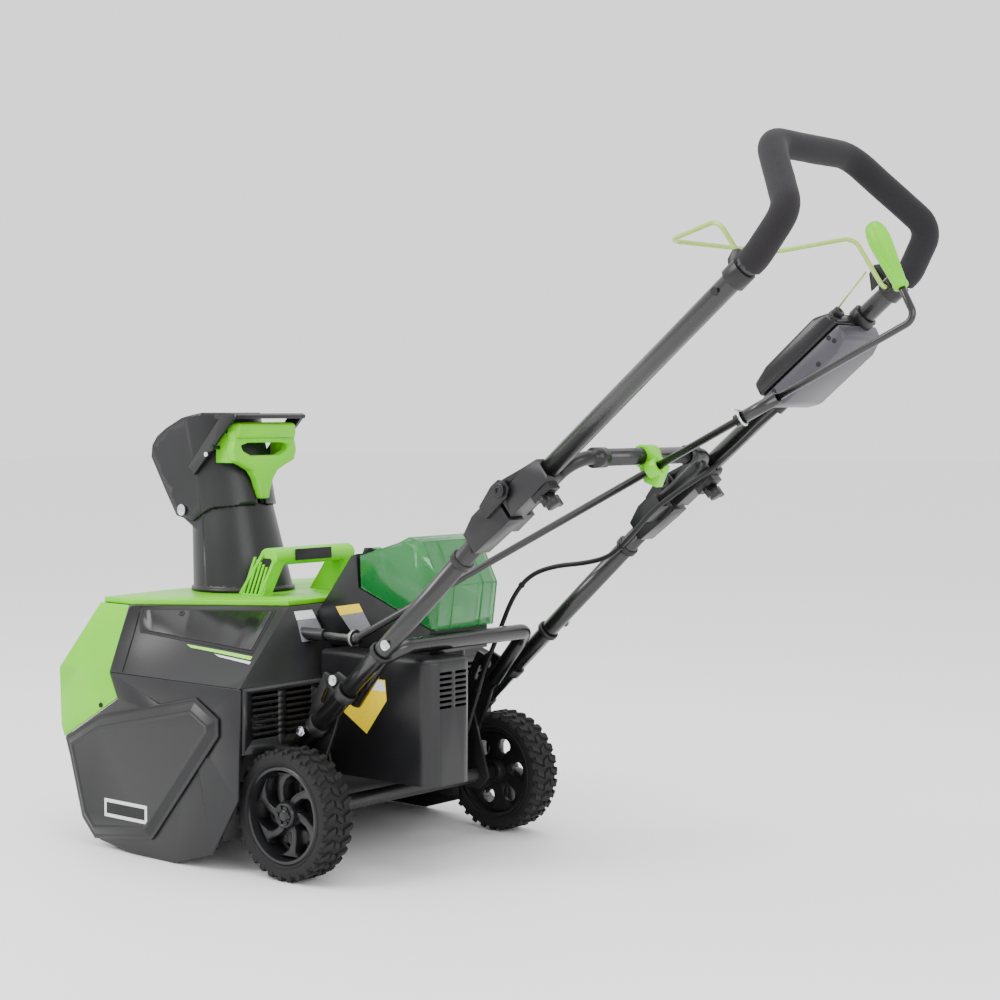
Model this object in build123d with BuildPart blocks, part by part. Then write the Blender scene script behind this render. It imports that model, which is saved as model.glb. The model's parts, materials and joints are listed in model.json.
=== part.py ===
"""Cordless single-stage snow thrower, 20 inch (508 mm) clearing width.

Millimetres, +Z up, +X to the machine's left, -Y to the front.  The origin is
on the ground at the middle of the machine's length and width.  Every sketch
measures along the machine from the wheel axle, so the numbers below read as
"behind (+) or ahead (-) of the axle" and "above the ground".
"""
import os
from math import atan2, cos, degrees, radians, sin

from build123d import *

# ---------------------------------------------------------------- dimensions
CLEARING_WIDTH = 508
FRONT_REACH = 458          # nose of the front fascia ahead of the axle
REAR_REACH = 784.4         # rearmost point of the crank behind the axle
AXLE_Y = (FRONT_REACH - REAR_REACH) / 2

PLATE_OUT = 262            # outer face of the side plates
PLATE_IN = 257
COVER_OUT = 273            # outer face of the drive covers
CREASE_Z = 257             # fold line between lower walls and upper body
DECK_Z = 352               # top of the upper body
DECK_TOP = 360             # top of the green deck plate
WALL = 3.5
GAP = 0.5                  # clearance between neighbouring mouldings

WHEEL_R = 89
WHEEL_IN, WHEEL_OUT = 190, 243
AXLE_Z = WHEEL_R
AXLE_R = 8
AXLE_TUBE_R = 10.5

AUGER_Y, AUGER_Z = -330, 128
DRUM_R = 114
PADDLE_R = 106
MOTOR_Y, MOTOR_Z = -150, 190
AUGER_PULLEY_R, MOTOR_PULLEY_R = 40, 12
BELT_IN, BELT_OUT = 264, 269

CHUTE_X, CHUTE_Y = 15, -320
CHUTE_LEAN = -25           # how far the chute's mouth leans forward
CHUTE_TOP = 500
NECK_R = 64
GEAR_R = 73.6
WORM_R = 8
WORM_X = CHUTE_X + GEAR_R + 0.4 + WORM_R
CRANK_Z = 315
HOOD_HALF = 66             # half width of the deflector hood
HINGE_Y, HINGE_Z = -382, 481
TRIGGER_Y, TRIGGER_Z = -308, 576

TUBE_X = 175               # side tubes of the handle
TUBE_R = 12.5
LOWER_SLOPE = 283 / 313    # rise over run of the lower tubes
UPPER_SLOPE = 0.82
KINK_Y, KINK_Z = 293, 466  # where the lower and upper tube lines meet
PIVOT_Y, PIVOT_Z = 344, 533
CROSSBAR_Y, CROSSBAR_Z = 425, 573
BAIL_Y, BAIL_Z = 682, 786
BOX_Y = 577                # middle of the control box along the tube

LID_HALF = 60
SEAM_FRONT, SEAM_REAR = (-27, 381), (106, 331)
LID_HINGE_Y, LID_HINGE_Z = -31, 433

pieces = {}


# ------------------------------------------------------------------- helpers
def at(x, y, z):
    """A point given from the axle, in the part's own frame."""
    return Vector(x, AXLE_Y + y, z)


def side(x, y=0, z=0, tilt=0):
    """Plane facing +X: local X runs back along the machine, local Y up."""
    run = (0, cos(radians(tilt)), sin(radians(tilt)))
    return Plane(origin=at(x, y, z), x_dir=run, z_dir=(1, 0, 0))


def level(z, x=0, y=0):
    """Plane facing +Z with local X to the left and local Y to the back."""
    return Plane(origin=at(x, y, z), x_dir=(1, 0, 0), z_dir=(0, 0, 1))


def front(y):
    """Plane facing -Y: local X to the left, local Y up."""
    return Plane(origin=at(0, y, 0), x_dir=(1, 0, 0), z_dir=(0, -1, 0))


def polygon(plane, points):
    with BuildSketch(plane) as sketch:
        with BuildLine():
            Polyline(*points, close=True)
        make_face()
    return sketch.sketch


def disc(plane, radius, middle=(0, 0)):
    with BuildSketch(plane) as sketch:
        with Locations(middle):
            Circle(radius)
    return sketch.sketch


def rod(start, end, radius, bore=0):
    """A straight round bar or tube between two points."""
    start, end = Vector(*start), Vector(*end)
    with BuildPart() as bar:
        with BuildSketch(Plane(origin=start, z_dir=end - start)):
            Circle(radius)
            if bore:
                Circle(bore, mode=Mode.SUBTRACT)
        extrude(amount=(end - start).length)
    return bar.part


def bent(points, radii, radius, bore=0):
    """A round bar or tube along straight runs joined by tangent arcs."""
    with BuildPart() as bar:
        with BuildLine() as path:
            FilletPolyline(*points, radius=radii)
        with BuildSketch(Plane(origin=path.line @ 0, z_dir=path.line % 0)):
            Circle(radius)
            if bore:
                Circle(bore, mode=Mode.SUBTRACT)
        sweep()
    return bar.part


def cable_radii(points):
    """Arc radii for a cable: 0.45 of the shorter run over tan of half the turn."""
    radii = []
    for a, b, c in zip(points, points[1:], points[2:]):
        before, after = Vector(*b) - Vector(*a), Vector(*c) - Vector(*b)
        turn = radians(before.get_angle(after))
        radii.append(0.45 * min(before.length, after.length) / abs(sin(turn / 2) / cos(turn / 2)))
    return radii


def lower_line(y):
    return KINK_Z + (y - KINK_Y) * LOWER_SLOPE


def upper_line(y):
    return KINK_Z + (y - KINK_Y) * UPPER_SLOPE


UPPER_TILT = degrees(atan2(UPPER_SLOPE, 1))


# -------------------------------------------------------------------- wheels
def make_wheel(name, sign):
    """Tyre and rim of one wheel; sign +1 is the left wheel."""
    across = Plane(origin=at(0, 0, AXLE_Z), x_dir=(sign, 0, 0), z_dir=(0, -sign, 0))
    with BuildPart() as tyre:
        with BuildSketch(across):
            with BuildLine():
                Polyline((WHEEL_IN + 4, 67), (WHEEL_IN, 72), (WHEEL_IN, 83), (WHEEL_IN + 6, WHEEL_R),
                         (WHEEL_OUT - 6, WHEEL_R), (WHEEL_OUT, 83), (WHEEL_OUT, 72), (WHEEL_OUT - 4, 67),
                         close=True)
            make_face()
        revolve(axis=Axis(at(0, 0, AXLE_Z), (1, 0, 0)))
    pieces[f"tyre_{name}"] = tyre

    with BuildPart() as rim:
        with BuildSketch(across):
            with BuildLine():
                Polyline((WHEEL_IN + 4, 61), (WHEEL_IN + 4, 66.8), (WHEEL_OUT - 4, 66.8),
                         (WHEEL_OUT - 4, 60),
                         (WHEEL_OUT - 12, 58), (WHEEL_OUT - 15, 16), (WHEEL_OUT - 9, 16),
                         (WHEEL_OUT - 9, AXLE_R + 0.06),
                         (WHEEL_IN + 1, AXLE_R + 0.06), (WHEEL_IN + 1, 16), (WHEEL_OUT - 20, 16),
                         (WHEEL_OUT - 18, 58), (WHEEL_OUT - 20, 61), close=True)
            make_face()
        revolve(axis=Axis(at(0, 0, AXLE_Z), (1, 0, 0)))
        with BuildSketch(side(0, 0, AXLE_Z)):
            with PolarLocations(38, 6):
                Circle(12)
        extrude(amount=300 * sign, mode=Mode.SUBTRACT)
        with BuildSketch(side(sign * (WHEEL_OUT - 9), 0, AXLE_Z)):
            Circle(16)
            with PolarLocations(11, 6):
                Circle(1.6, mode=Mode.SUBTRACT)
        extrude(amount=6 * sign)
    pieces[f"rim_{name}"] = rim


make_wheel("left", 1)
make_wheel("right", -1)

BRACKET_IN, BRACKET_T = 152, 4
with BuildPart() as axle:
    corners = [(-31, 191), (-3, 191), (27, 89), (12, 70), (-60, 70), (-73, 88)]
    extrude(polygon(side(BRACKET_IN), corners), amount=BRACKET_T)
    mirror(about=Plane.YZ)
    add(rod(at(-WHEEL_OUT + 9.5, 0, AXLE_Z), at(WHEEL_OUT - 9.5, 0, AXLE_Z), AXLE_R))
    add(rod(at(-WHEEL_IN + 1, 0, AXLE_Z), at(WHEEL_IN - 1, 0, AXLE_Z), AXLE_TUBE_R))
pieces["axle"] = axle

# --------------------------------------------------------------- lower frame
HOOP_R = 11
HOOP_Y, HOOP_Z = 118, 315
HOOP_LEG_X = 145
with BuildPart() as frame_hoop:
    half = [(HOOP_LEG_X, 44, 236), (HOOP_LEG_X, 96, 300), (HOOP_LEG_X - 18, HOOP_Y, HOOP_Z)]
    route = [at(*p) for p in half] + [at(-x, y, z) for x, y, z in reversed(half)]
    add(bent(route, [24, 22, 22, 24], HOOP_R, HOOP_R - 1.5))
pieces["frame_hoop"] = frame_hoop

with BuildPart() as lower_tubes:
    add(rod(at(TUBE_X, -36, lower_line(-36)), at(TUBE_X, 325, lower_line(325)), TUBE_R, TUBE_R - 1.6))
    mirror(about=Plane.YZ)
pieces["lower_tubes"] = lower_tubes

with BuildPart() as leg_plates:
    plate = [(-46, 152), (-26, 190), (-27, 216), (-13, 246), (3, 275), (16, 270), (28, 277),
             (62, 262), (44, 232), (30, 219), (20, 192), (0, 150)]
    extrude(polygon(side(BRACKET_IN + BRACKET_T + 0.3), plate),
            amount=TUBE_X - TUBE_R - BRACKET_IN - BRACKET_T - 0.6)
    extrude(disc(side(BRACKET_IN), 6, (24, 258)), amount=20, mode=Mode.SUBTRACT)
    with BuildSketch(side(BRACKET_IN, 4, 243, 62)):
        SlotOverall(24, 7)
    extrude(amount=20, mode=Mode.SUBTRACT)
    for y in (-2, 52):
        middle = at(TUBE_X, y, lower_line(y))
        with BuildSketch(Plane(origin=middle, x_dir=(1, 0, 0), z_dir=(0, 1, LOWER_SLOPE))):
            Circle(TUBE_R + 3)
            Circle(TUBE_R + 0.1, mode=Mode.SUBTRACT)
            with Locations((-TUBE_R - 3.2, 0)):
                Rectangle(6, 60, mode=Mode.SUBTRACT)
        extrude(amount=13)
    mirror(about=Plane.YZ)
pieces["leg_plates"] = leg_plates

with BuildPart() as frame_bolts:
    for y, z in ((50, 271), (144, 325), (-12, 196)):
        x = TUBE_X + TUBE_R + (3.2 if y < 100 else 0.3)
        extrude(disc(side(x, y, z), 7), amount=3)
        with BuildSketch(side(x + 3, y, z)):
            RegularPolygon(5, 6)
        extrude(amount=2.5)
    mirror(about=Plane.YZ)
pieces["frame_bolts"] = frame_bolts

# ------------------------------------------------------------- auger housing
with BuildPart() as side_plates:
    rim_points = [(-437, 152), (-396, 47), (-358, 10), (-282, 0), (-195, 0), (-115, 24), (-62, 104),
                  (-57, CREASE_Z - GAP), (-332, CREASE_Z - GAP), (-315, 220)]
    extrude(polygon(side(PLATE_IN), rim_points), amount=PLATE_OUT - PLATE_IN)
    extrude(disc(side(PLATE_IN), 16.05, (AUGER_Y, AUGER_Z)), amount=10, mode=Mode.SUBTRACT)
    extrude(disc(side(PLATE_IN), 9, (MOTOR_Y, MOTOR_Z)), amount=10, mode=Mode.SUBTRACT)
    mirror(about=Plane.YZ)
pieces["side_plates"] = side_plates

COVER_OUTLINE = [(-430, 155), (-352, 193), (-143, 237), (-97, 212), (-97, 188), (-238, 27), (-365, 12),
                 (-394, 40)]

with BuildPart() as drive_covers:
    for sign in (1, -1):
        face = polygon(side(sign * (PLATE_OUT + 0.2)), COVER_OUTLINE)
        extrude(face, amount=sign * (COVER_OUT - PLATE_OUT - 0.2), taper=12)
        with BuildSketch(side(sign * PLATE_OUT)) as hollow:
            with BuildLine():
                Polyline(*COVER_OUTLINE, close=True)
            make_face()
            offset(amount=-7, kind=Kind.INTERSECTION)
        extrude(amount=sign * (COVER_OUT - PLATE_OUT - 2), mode=Mode.SUBTRACT)
pieces["drive_covers"] = drive_covers


def walls(low, low_z, high, high_z):
    """Ruled solid between two level outlines, each given as (x, y) points."""
    with BuildPart() as block:
        polygon_low = polygon(level(low_z), low)
        polygon_high = polygon(level(high_z), high)
        loft([polygon_low.face(), polygon_high.face()], ruled=True)
    return block.part


def mirrored(points):
    """Close a half outline on the +X side with its mirror image."""
    return points + [(-x, y) for x, y in reversed(points)]


FASCIA_REAR_LOW, FASCIA_REAR_HIGH = -333, -320
with BuildPart() as lamp_lenses:
    for x in (150, -150):
        with BuildSketch(Plane(origin=at(x, -423, 300), x_dir=(1, 0, 0), z_dir=(0, -0.85, 0.5))):
            RectangleRounded(54, 16, 6)
        extrude(amount=4)
pieces["lamp_lenses"] = lamp_lenses

NOSE_X, NOSE_Y = 120, -FRONT_REACH
with BuildPart() as fascia:
    add(walls(mirrored([(NOSE_X, NOSE_Y), (PLATE_OUT, -448), (PLATE_OUT, FASCIA_REAR_LOW)]), CREASE_Z - 3,
              mirrored([(110, -400), (236, -384), (236, FASCIA_REAR_HIGH)]), DECK_Z - GAP))
    add(walls(mirrored([(NOSE_X, NOSE_Y + 4), (PLATE_OUT - 4, -444), (PLATE_OUT - 4, -300)]), CREASE_Z - 4,
              mirrored([(110, -396), (232, -380), (232, -288)]), DECK_Z), mode=Mode.SUBTRACT)
    lip = [(-445, 170), (-448, CREASE_Z - 3), (-332.9, CREASE_Z - 3), (-316, 221), (-438, 153)]
    for x, amount in ((PLATE_IN + 1, 4), (-PLATE_IN - 1, -4)):
        extrude(polygon(side(x), lip), amount=amount)
    add(lamp_lenses.part, mode=Mode.SUBTRACT)
pieces["front_fascia"] = fascia

UPPER_LOW = mirrored([(PLATE_OUT, FASCIA_REAR_LOW + GAP), (PLATE_OUT, -57)])
UPPER_HIGH = mirrored([(236, FASCIA_REAR_HIGH + GAP), (105, -127)])
BOSS_R = 9
with BuildPart() as upper_body:
    add(walls(UPPER_LOW, CREASE_Z, UPPER_HIGH, DECK_Z))
    add(walls(mirrored([(PLATE_OUT - WALL, -345), (PLATE_OUT - WALL, -57 - WALL)]), CREASE_Z - 1,
              mirrored([(236 - WALL, -345), (105 - WALL, -127 - WALL)]), DECK_Z - WALL), mode=Mode.SUBTRACT)
    extrude(disc(level(DECK_Z - 20, CHUTE_X, CHUTE_Y), NECK_R + 14), amount=40, mode=Mode.SUBTRACT)
    add(rod(at(WORM_X, -112, CRANK_Z), at(WORM_X, -60, CRANK_Z), BOSS_R))
    extrude(disc(Plane(origin=at(WORM_X, -140, CRANK_Z), x_dir=(1, 0, 0), z_dir=(0, 1, 0)), 6.5), amount=130,
            mode=Mode.SUBTRACT)
pieces["upper_body"] = upper_body

with BuildPart() as top_deck:
    extrude(polygon(level(DECK_Z + 0.1), mirrored([(108, -398), (231, -382), (231, -316), (101, -131)])),
            amount=DECK_TOP - DECK_Z - 0.1)
    extrude(disc(level(DECK_Z, CHUTE_X, CHUTE_Y), NECK_R + 1), amount=10, mode=Mode.SUBTRACT)
pieces["top_deck"] = top_deck

with BuildPart() as auger_drum:
    width = 2 * PLATE_IN - 1
    extrude(disc(side(-width / 2), DRUM_R + 3, (AUGER_Y, AUGER_Z)), amount=width)
    extrude(disc(level(190, CHUTE_X, CHUTE_Y), NECK_R + 2), amount=110)
    lip_plate = [(-372, 232), (-441, 249), (-441, 252), (-372, 240)]
    extrude(polygon(side(-width / 2), lip_plate), amount=width)
    extrude(disc(side(-width / 2), DRUM_R, (AUGER_Y, AUGER_Z)), amount=width, mode=Mode.SUBTRACT)
    mouth = [(AUGER_Y, AUGER_Z), (-384, 232), (-384, 226), (-500, 226), (-500, -20), (-336, -20)]
    extrude(polygon(side(-width / 2), mouth), amount=width, mode=Mode.SUBTRACT)
    extrude(disc(level(140, CHUTE_X, CHUTE_Y), NECK_R - 1), amount=170, mode=Mode.SUBTRACT)
pieces["auger_drum"] = auger_drum

with BuildPart() as belly_pan:
    ramp = [(-247, 37), (-140, 46), (-101, 58), (-101, 61), (-140, 49), (-247, 40)]
    extrude(polygon(side(-PLATE_IN + GAP), ramp), amount=2 * (PLATE_IN - GAP))
    tail = [(-101.5, 58), (-63, 73), (-61, 130), (-64, 130), (-66, 75.5), (-101.5, 61)]
    extrude(polygon(side(-150), tail), amount=300)
pieces["belly_pan"] = belly_pan

with BuildPart() as scraper_bar:
    extrude(polygon(side(-250), [(-350, 3), (-345, 2), (-300, 8), (-300, 10.5), (-345, 6)]), amount=500)
pieces["scraper_bar"] = scraper_bar

# ----------------------------------------------------------------- rear body
ARCH_X, ARCH_Z = 182, 166        # wheel arches, clear of the tyres
BODY_HALF = 108
BODY_TOP = 297
with BuildPart() as rear_wall:
    half = [(ARCH_X, 131), (ARCH_X, ARCH_Z), (PLATE_IN - GAP, ARCH_Z), (PLATE_IN - GAP, CREASE_Z - GAP)]
    extrude(polygon(front(-57), mirrored(half)), amount=WALL)
    arch = [(ARCH_X, -57), (ARCH_X + 3, -57), (ARCH_X + 3, -97), (PLATE_IN - GAP, -97),
            (PLATE_IN - GAP, -100),
            (ARCH_X, -100)]
    shelf = [(ARCH_X, -57), (PLATE_IN - GAP, -57), (PLATE_IN - GAP, -100), (ARCH_X, -100)]
    for flip in (1, -1):
        extrude(polygon(level(45), [(flip * x, y) for x, y in arch]), amount=ARCH_Z - 45)
        extrude(polygon(level(ARCH_Z), [(flip * x, y) for x, y in shelf]), amount=3)
    with BuildSketch(front(-50)):
        for x in (-215, -152, 152, 215):
            for row in range(8):
                with Locations((x, 187 + 8.4 * row)):
                    SlotOverall(50, 4.4)
    extrude(amount=20, mode=Mode.SUBTRACT)
    with BuildSketch(front(-50)):
        with Locations((0, 180)):
            Rectangle(180, 100)
    extrude(amount=20, mode=Mode.SUBTRACT)
pieces["rear_wall"] = rear_wall

MOTOR_REAR, BODY_REAR, BULGE_X = 152, 33, 20
with BuildPart() as rear_body:
    plan = [(-BODY_HALF, -56.9), (BULGE_X - GAP, -56.9), (BULGE_X - GAP, BODY_REAR), (-BODY_HALF, BODY_REAR)]
    extrude(polygon(level(118), plan), amount=BODY_TOP - 118)
    fillet(rear_body.edges().filter_by(Axis.Z).group_by(Axis.X)[0].sort_by(Axis.Y)[-1:], 22)
    inside = [(-BODY_HALF + WALL, -60), (BULGE_X + 5, -60), (BULGE_X + 5, BODY_REAR - WALL),
              (-BODY_HALF + WALL, BODY_REAR - WALL)]
    extrude(polygon(level(118 + WALL), inside), amount=BODY_TOP - 118 - 2 * WALL, mode=Mode.SUBTRACT)
pieces["rear_body"] = rear_body

with BuildPart() as motor_cover:
    plan = [(BULGE_X, -56.9), (BODY_HALF, -56.9), (BODY_HALF, MOTOR_REAR), (BULGE_X, MOTOR_REAR)]
    extrude(polygon(level(125), plan), amount=BODY_TOP - 125)
    fillet(motor_cover.edges().filter_by(Axis.Z).sort_by(Axis.Y)[-2:], 24)
    fillet(motor_cover.edges().group_by(Axis.Z)[-1].sort_by(Axis.Y)[1:], 8)
    inside = [(BULGE_X - 5, -60), (BODY_HALF - WALL, -60), (BODY_HALF - WALL, 95), (BODY_HALF - 20, 148),
              (BULGE_X + 20, 148), (BULGE_X + WALL, 120), (BULGE_X + WALL, BODY_REAR + 2),
              (BULGE_X - 5, BODY_REAR + 2)]
    extrude(polygon(level(125 + WALL), inside), amount=BODY_TOP - 125 - 2 * WALL - 5, mode=Mode.SUBTRACT)
    with BuildSketch(front(160)):
        for x in (49, 79):
            for row in range(7):
                with Locations((x, 232 + 7.6 * row)):
                    SlotOverall(24, 4)
    extrude(amount=20, mode=Mode.SUBTRACT)
pieces["motor_cover"] = motor_cover

with BuildPart() as controller:
    with Locations(at(62, 40, 190)):
        Box(56, 90, 70)
    with Locations(at(62, 40, 228)):
        with GridLocations(8, 0, 6, 1):
            Box(2, 84, 10)
pieces["controller"] = controller

# ----------------------------------------------------------- battery and lid
SEAM_TILT = degrees(atan2(SEAM_REAR[1] - SEAM_FRONT[1], SEAM_REAR[0] - SEAM_FRONT[0]))


def bay(x):
    """Plane facing +X whose local X runs down the lid's seam to the rear."""
    return side(x, *SEAM_FRONT, SEAM_TILT)


with BuildPart() as battery_bay:
    outline = [(-86, 297.5), (-115, 341), (-80, 382), (-45, 426), (-35.5, 429), (-31, 381),
               (SEAM_REAR[0] - 1, 331),
               (SEAM_REAR[0] - 1, 297.5)]
    extrude(polygon(side(-LID_HALF), outline), amount=2 * LID_HALF)
    cavity = [(6, -33), (133, -33), (133, 20), (6, 20)]
    extrude(polygon(bay(-LID_HALF + 6), cavity), amount=2 * LID_HALF - 12, mode=Mode.SUBTRACT)
    for x in (-44, 34):
        ear = [(-43, 420), (-31, 427.5), (-27, 431), (-27, 437), (-35, 437)]
        extrude(polygon(side(x), ear), amount=10)
    extrude(disc(side(-46), 2, (LID_HINGE_Y, LID_HINGE_Z)), amount=92)
pieces["battery_bay"] = battery_bay

LID_OUTLINE = [(-26.5, 381.6), (-28, 427), (48, 449), (66, 457), (92, 452), (124, 392), (116, 333),
               (106, 331.9)]
with BuildPart() as battery_lid:
    extrude(polygon(side(-LID_HALF), LID_OUTLINE), amount=2 * LID_HALF)
    inner = [(-40, 370), (-40, 421), (48, 445.5), (66, 453.5), (90, 448.6), (120.5, 391.6), (113.5, 335),
             (106, 320)]
    extrude(polygon(side(-LID_HALF + 3), inner), amount=2 * LID_HALF - 6, mode=Mode.SUBTRACT)
    for x in (-30, 18):
        lug = [(-31, 437), (-27, 437), (-20, 431.2), (-20, 428), (-29, 425.8), (-34, 431), (-34, 435)]
        extrude(polygon(side(x), lug), amount=12)
    extrude(disc(side(-50), 2.06, (LID_HINGE_Y, LID_HINGE_Z)), amount=100, mode=Mode.SUBTRACT)
pieces["battery_lid"] = battery_lid

with BuildPart() as battery_pack:
    extrude(polygon(bay(-50), [(12, -32), (126, -32), (126, 20), (116, 33), (12, 33)]), amount=100)
    fillet(battery_pack.edges().filter_by(Axis.X), 4)
    extrude(polygon(bay(-15), [(119, 5), (140, 5), (140, 24), (119, 24)]), amount=30, mode=Mode.SUBTRACT)
pieces["battery_pack"] = battery_pack

with BuildPart() as battery_latch:
    extrude(polygon(bay(-14), [(123, 6), (130, 8), (130, 21), (123, 23)]), amount=28)
pieces["battery_latch"] = battery_latch

# ------------------------------------------------------- motor and auger set
with BuildPart() as motor_stator:
    extrude(disc(side(145), 42, (MOTOR_Y, MOTOR_Z)), amount=96)
    extrude(disc(side(150), 28, (MOTOR_Y, MOTOR_Z)), amount=86, mode=Mode.SUBTRACT)
    extrude(disc(side(140), 5.06, (MOTOR_Y, MOTOR_Z)), amount=110, mode=Mode.SUBTRACT)
pieces["motor_stator"] = motor_stator

with BuildPart() as motor_rotor:
    extrude(disc(side(146), 5, (MOTOR_Y, MOTOR_Z)), amount=BELT_OUT + 1 - 146)
    extrude(disc(side(154), 27.4, (MOTOR_Y, MOTOR_Z)), amount=78)
    extrude(disc(side(BELT_IN - 1), MOTOR_PULLEY_R + 2, (MOTOR_Y, MOTOR_Z)), amount=0.8)
    extrude(disc(side(BELT_IN - 1), MOTOR_PULLEY_R, (MOTOR_Y, MOTOR_Z)), amount=BELT_OUT - BELT_IN + 1.5)
pieces["motor_rotor"] = motor_rotor

with BuildPart() as drive_belt:
    for grow, mode in ((2.4, Mode.ADD), (0.4, Mode.SUBTRACT)):
        with BuildSketch(side(BELT_IN)):
            with Locations((AUGER_Y, AUGER_Z)):
                Circle(AUGER_PULLEY_R + grow)
            with Locations((MOTOR_Y, MOTOR_Z)):
                Circle(MOTOR_PULLEY_R + grow)
            make_hull()
        extrude(amount=BELT_OUT - BELT_IN, mode=mode)
pieces["drive_belt"] = drive_belt

with BuildPart() as auger_bearings:
    extrude(disc(side(PLATE_IN - 5), 16, (AUGER_Y, AUGER_Z)), amount=10.5)
    extrude(disc(side(PLATE_IN - 5), 10.06, (AUGER_Y, AUGER_Z)), amount=12, mode=Mode.SUBTRACT)
    mirror(about=Plane.YZ)
pieces["auger_bearings"] = auger_bearings

CORE_HALF = CLEARING_WIDTH / 2 - 10
with BuildPart() as auger_shaft:
    extrude(disc(side(-PLATE_OUT - 4), 10, (AUGER_Y, AUGER_Z)), amount=PLATE_OUT + 4 + BELT_OUT + 1)
    extrude(disc(side(-CORE_HALF), 17, (AUGER_Y, AUGER_Z)), amount=2 * CORE_HALF)
    for x in (-CORE_HALF, -CORE_HALF / 2, 0, CORE_HALF / 2 - 6, CORE_HALF - 6):
        with BuildSketch(side(x, AUGER_Y, AUGER_Z)):
            SlotOverall(104, 30)
        extrude(amount=6)
    extrude(disc(side(BELT_IN - 1), AUGER_PULLEY_R + 3, (AUGER_Y, AUGER_Z)), amount=0.7)
    extrude(disc(side(BELT_IN - 1), AUGER_PULLEY_R, (AUGER_Y, AUGER_Z)), amount=BELT_OUT - BELT_IN + 1.5)
pieces["auger_shaft"] = auger_shaft

with BuildPart() as auger_paddles:
    with BuildSketch(side(-CORE_HALF, AUGER_Y, AUGER_Z)):
        for turn in (0, 180):
            with BuildLine():
                blade = [(53, -14), (80, -8), (100, 10), (104, 20), (98, 20), (78, 2), (53, -4)]
                Polyline(*[Vector(*p).rotate(Axis.Z, turn) for p in blade], close=True)
            make_face()
    extrude(amount=2 * CORE_HALF)
    with BuildSketch(side(-CORE_HALF, AUGER_Y, AUGER_Z)):
        SlotOverall(104.4, 30.4)
    extrude(amount=2 * CORE_HALF, mode=Mode.SUBTRACT)
pieces["auger_paddles"] = auger_paddles

# ------------------------------------------------------- chute and deflector
CHUTE_BASE = DECK_TOP + GAP
FLANGE_TOP = DECK_TOP + 6
MOUTH_R = 60


def chute_side(x):
    return side(CHUTE_X + x)


with BuildPart() as chute:
    extrude(disc(level(302, CHUTE_X, CHUTE_Y), NECK_R), amount=FLANGE_TOP - 302)
    extrude(disc(level(CHUTE_BASE, CHUTE_X, CHUTE_Y), NECK_R + 14), amount=FLANGE_TOP - CHUTE_BASE)
    with BuildSketch(level(308, CHUTE_X, CHUTE_Y)):
        Circle(GEAR_R - 4)
        with PolarLocations(GEAR_R - 3.7, 36):
            Trapezoid(6, 7, 72, rotation=-90)
    extrude(amount=14)
    loft([disc(level(FLANGE_TOP - 1, CHUTE_X, CHUTE_Y), 75).face(),
          disc(level(CHUTE_TOP, CHUTE_X, CHUTE_Y + CHUTE_LEAN), MOUTH_R).face()])
    for x, amount in ((MOUTH_R - 1, 3.6), (-MOUTH_R + 1, -3.6)):
        ear = [(-393, 474), (-345, 446), (-338, 497), (-384, 497), (-396, 488)]
        extrude(polygon(chute_side(x), ear), amount=amount)
    loft([disc(level(FLANGE_TOP + 3, CHUTE_X, CHUTE_Y), 71.5).face(),
          disc(level(CHUTE_TOP + 1, CHUTE_X, CHUTE_Y + CHUTE_LEAN), MOUTH_R - 3).face()], mode=Mode.SUBTRACT)
    extrude(disc(level(300, CHUTE_X, CHUTE_Y), NECK_R - 3), amount=80, mode=Mode.SUBTRACT)
    above = [(-480, 458), (-404, 468), (-392, 497), (-345, 500), (-330, 485), (-270, 495), (-250, 570),
             (-480, 570)]
    extrude(polygon(chute_side(-100), above), amount=200, mode=Mode.SUBTRACT)
    with BuildSketch(chute_side(-8)):
        with Locations((HINGE_Y, HINGE_Z)):
            Circle(93.5)
            Circle(88.5, mode=Mode.SUBTRACT)
        with BuildLine():
            Polyline((HINGE_Y, HINGE_Z), (HINGE_Y + 140, HINGE_Z - 10), (HINGE_Y + 110, HINGE_Z + 95),
                     close=True)
        make_face(mode=Mode.INTERSECT)
    extrude(amount=16)
    extrude(polygon(chute_side(-8), [(-294, 474), (-280.5, 474), (-283, 490), (-292, 490)]), amount=16)
    extrude(disc(chute_side(-70), 4, (HINGE_Y, HINGE_Z)), amount=140, mode=Mode.SUBTRACT)
pieces["chute"] = chute

with BuildPart() as hood_bolts:
    for flip in (1, -1):
        extrude(disc(chute_side(flip * (MOUTH_R - 5)), 4, (HINGE_Y, HINGE_Z)), amount=flip * 15)
        extrude(disc(chute_side(flip * (HOOD_HALF + 0.4)), 8.5, (HINGE_Y, HINGE_Z)), amount=flip * 3)
        extrude(disc(chute_side(flip * (MOUTH_R - 5)), 6.5, (HINGE_Y, HINGE_Z)), amount=flip * 3.8)
pieces["hood_bolts"] = hood_bolts


def hood_plan(z, half):
    """Plan of the hood at one height: round back, straight cheeks running forward."""
    back = -274 - 0.25 * (z - 478) - (HOOD_HALF - half)
    with BuildSketch(level(z, CHUTE_X)) as plan:
        with Locations((0, back - half)):
            Circle(half)
        with Locations((0, (back - half - 500) / 2)):
            Rectangle(2 * half, back - half + 500)
    return plan.sketch.face()


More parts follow.
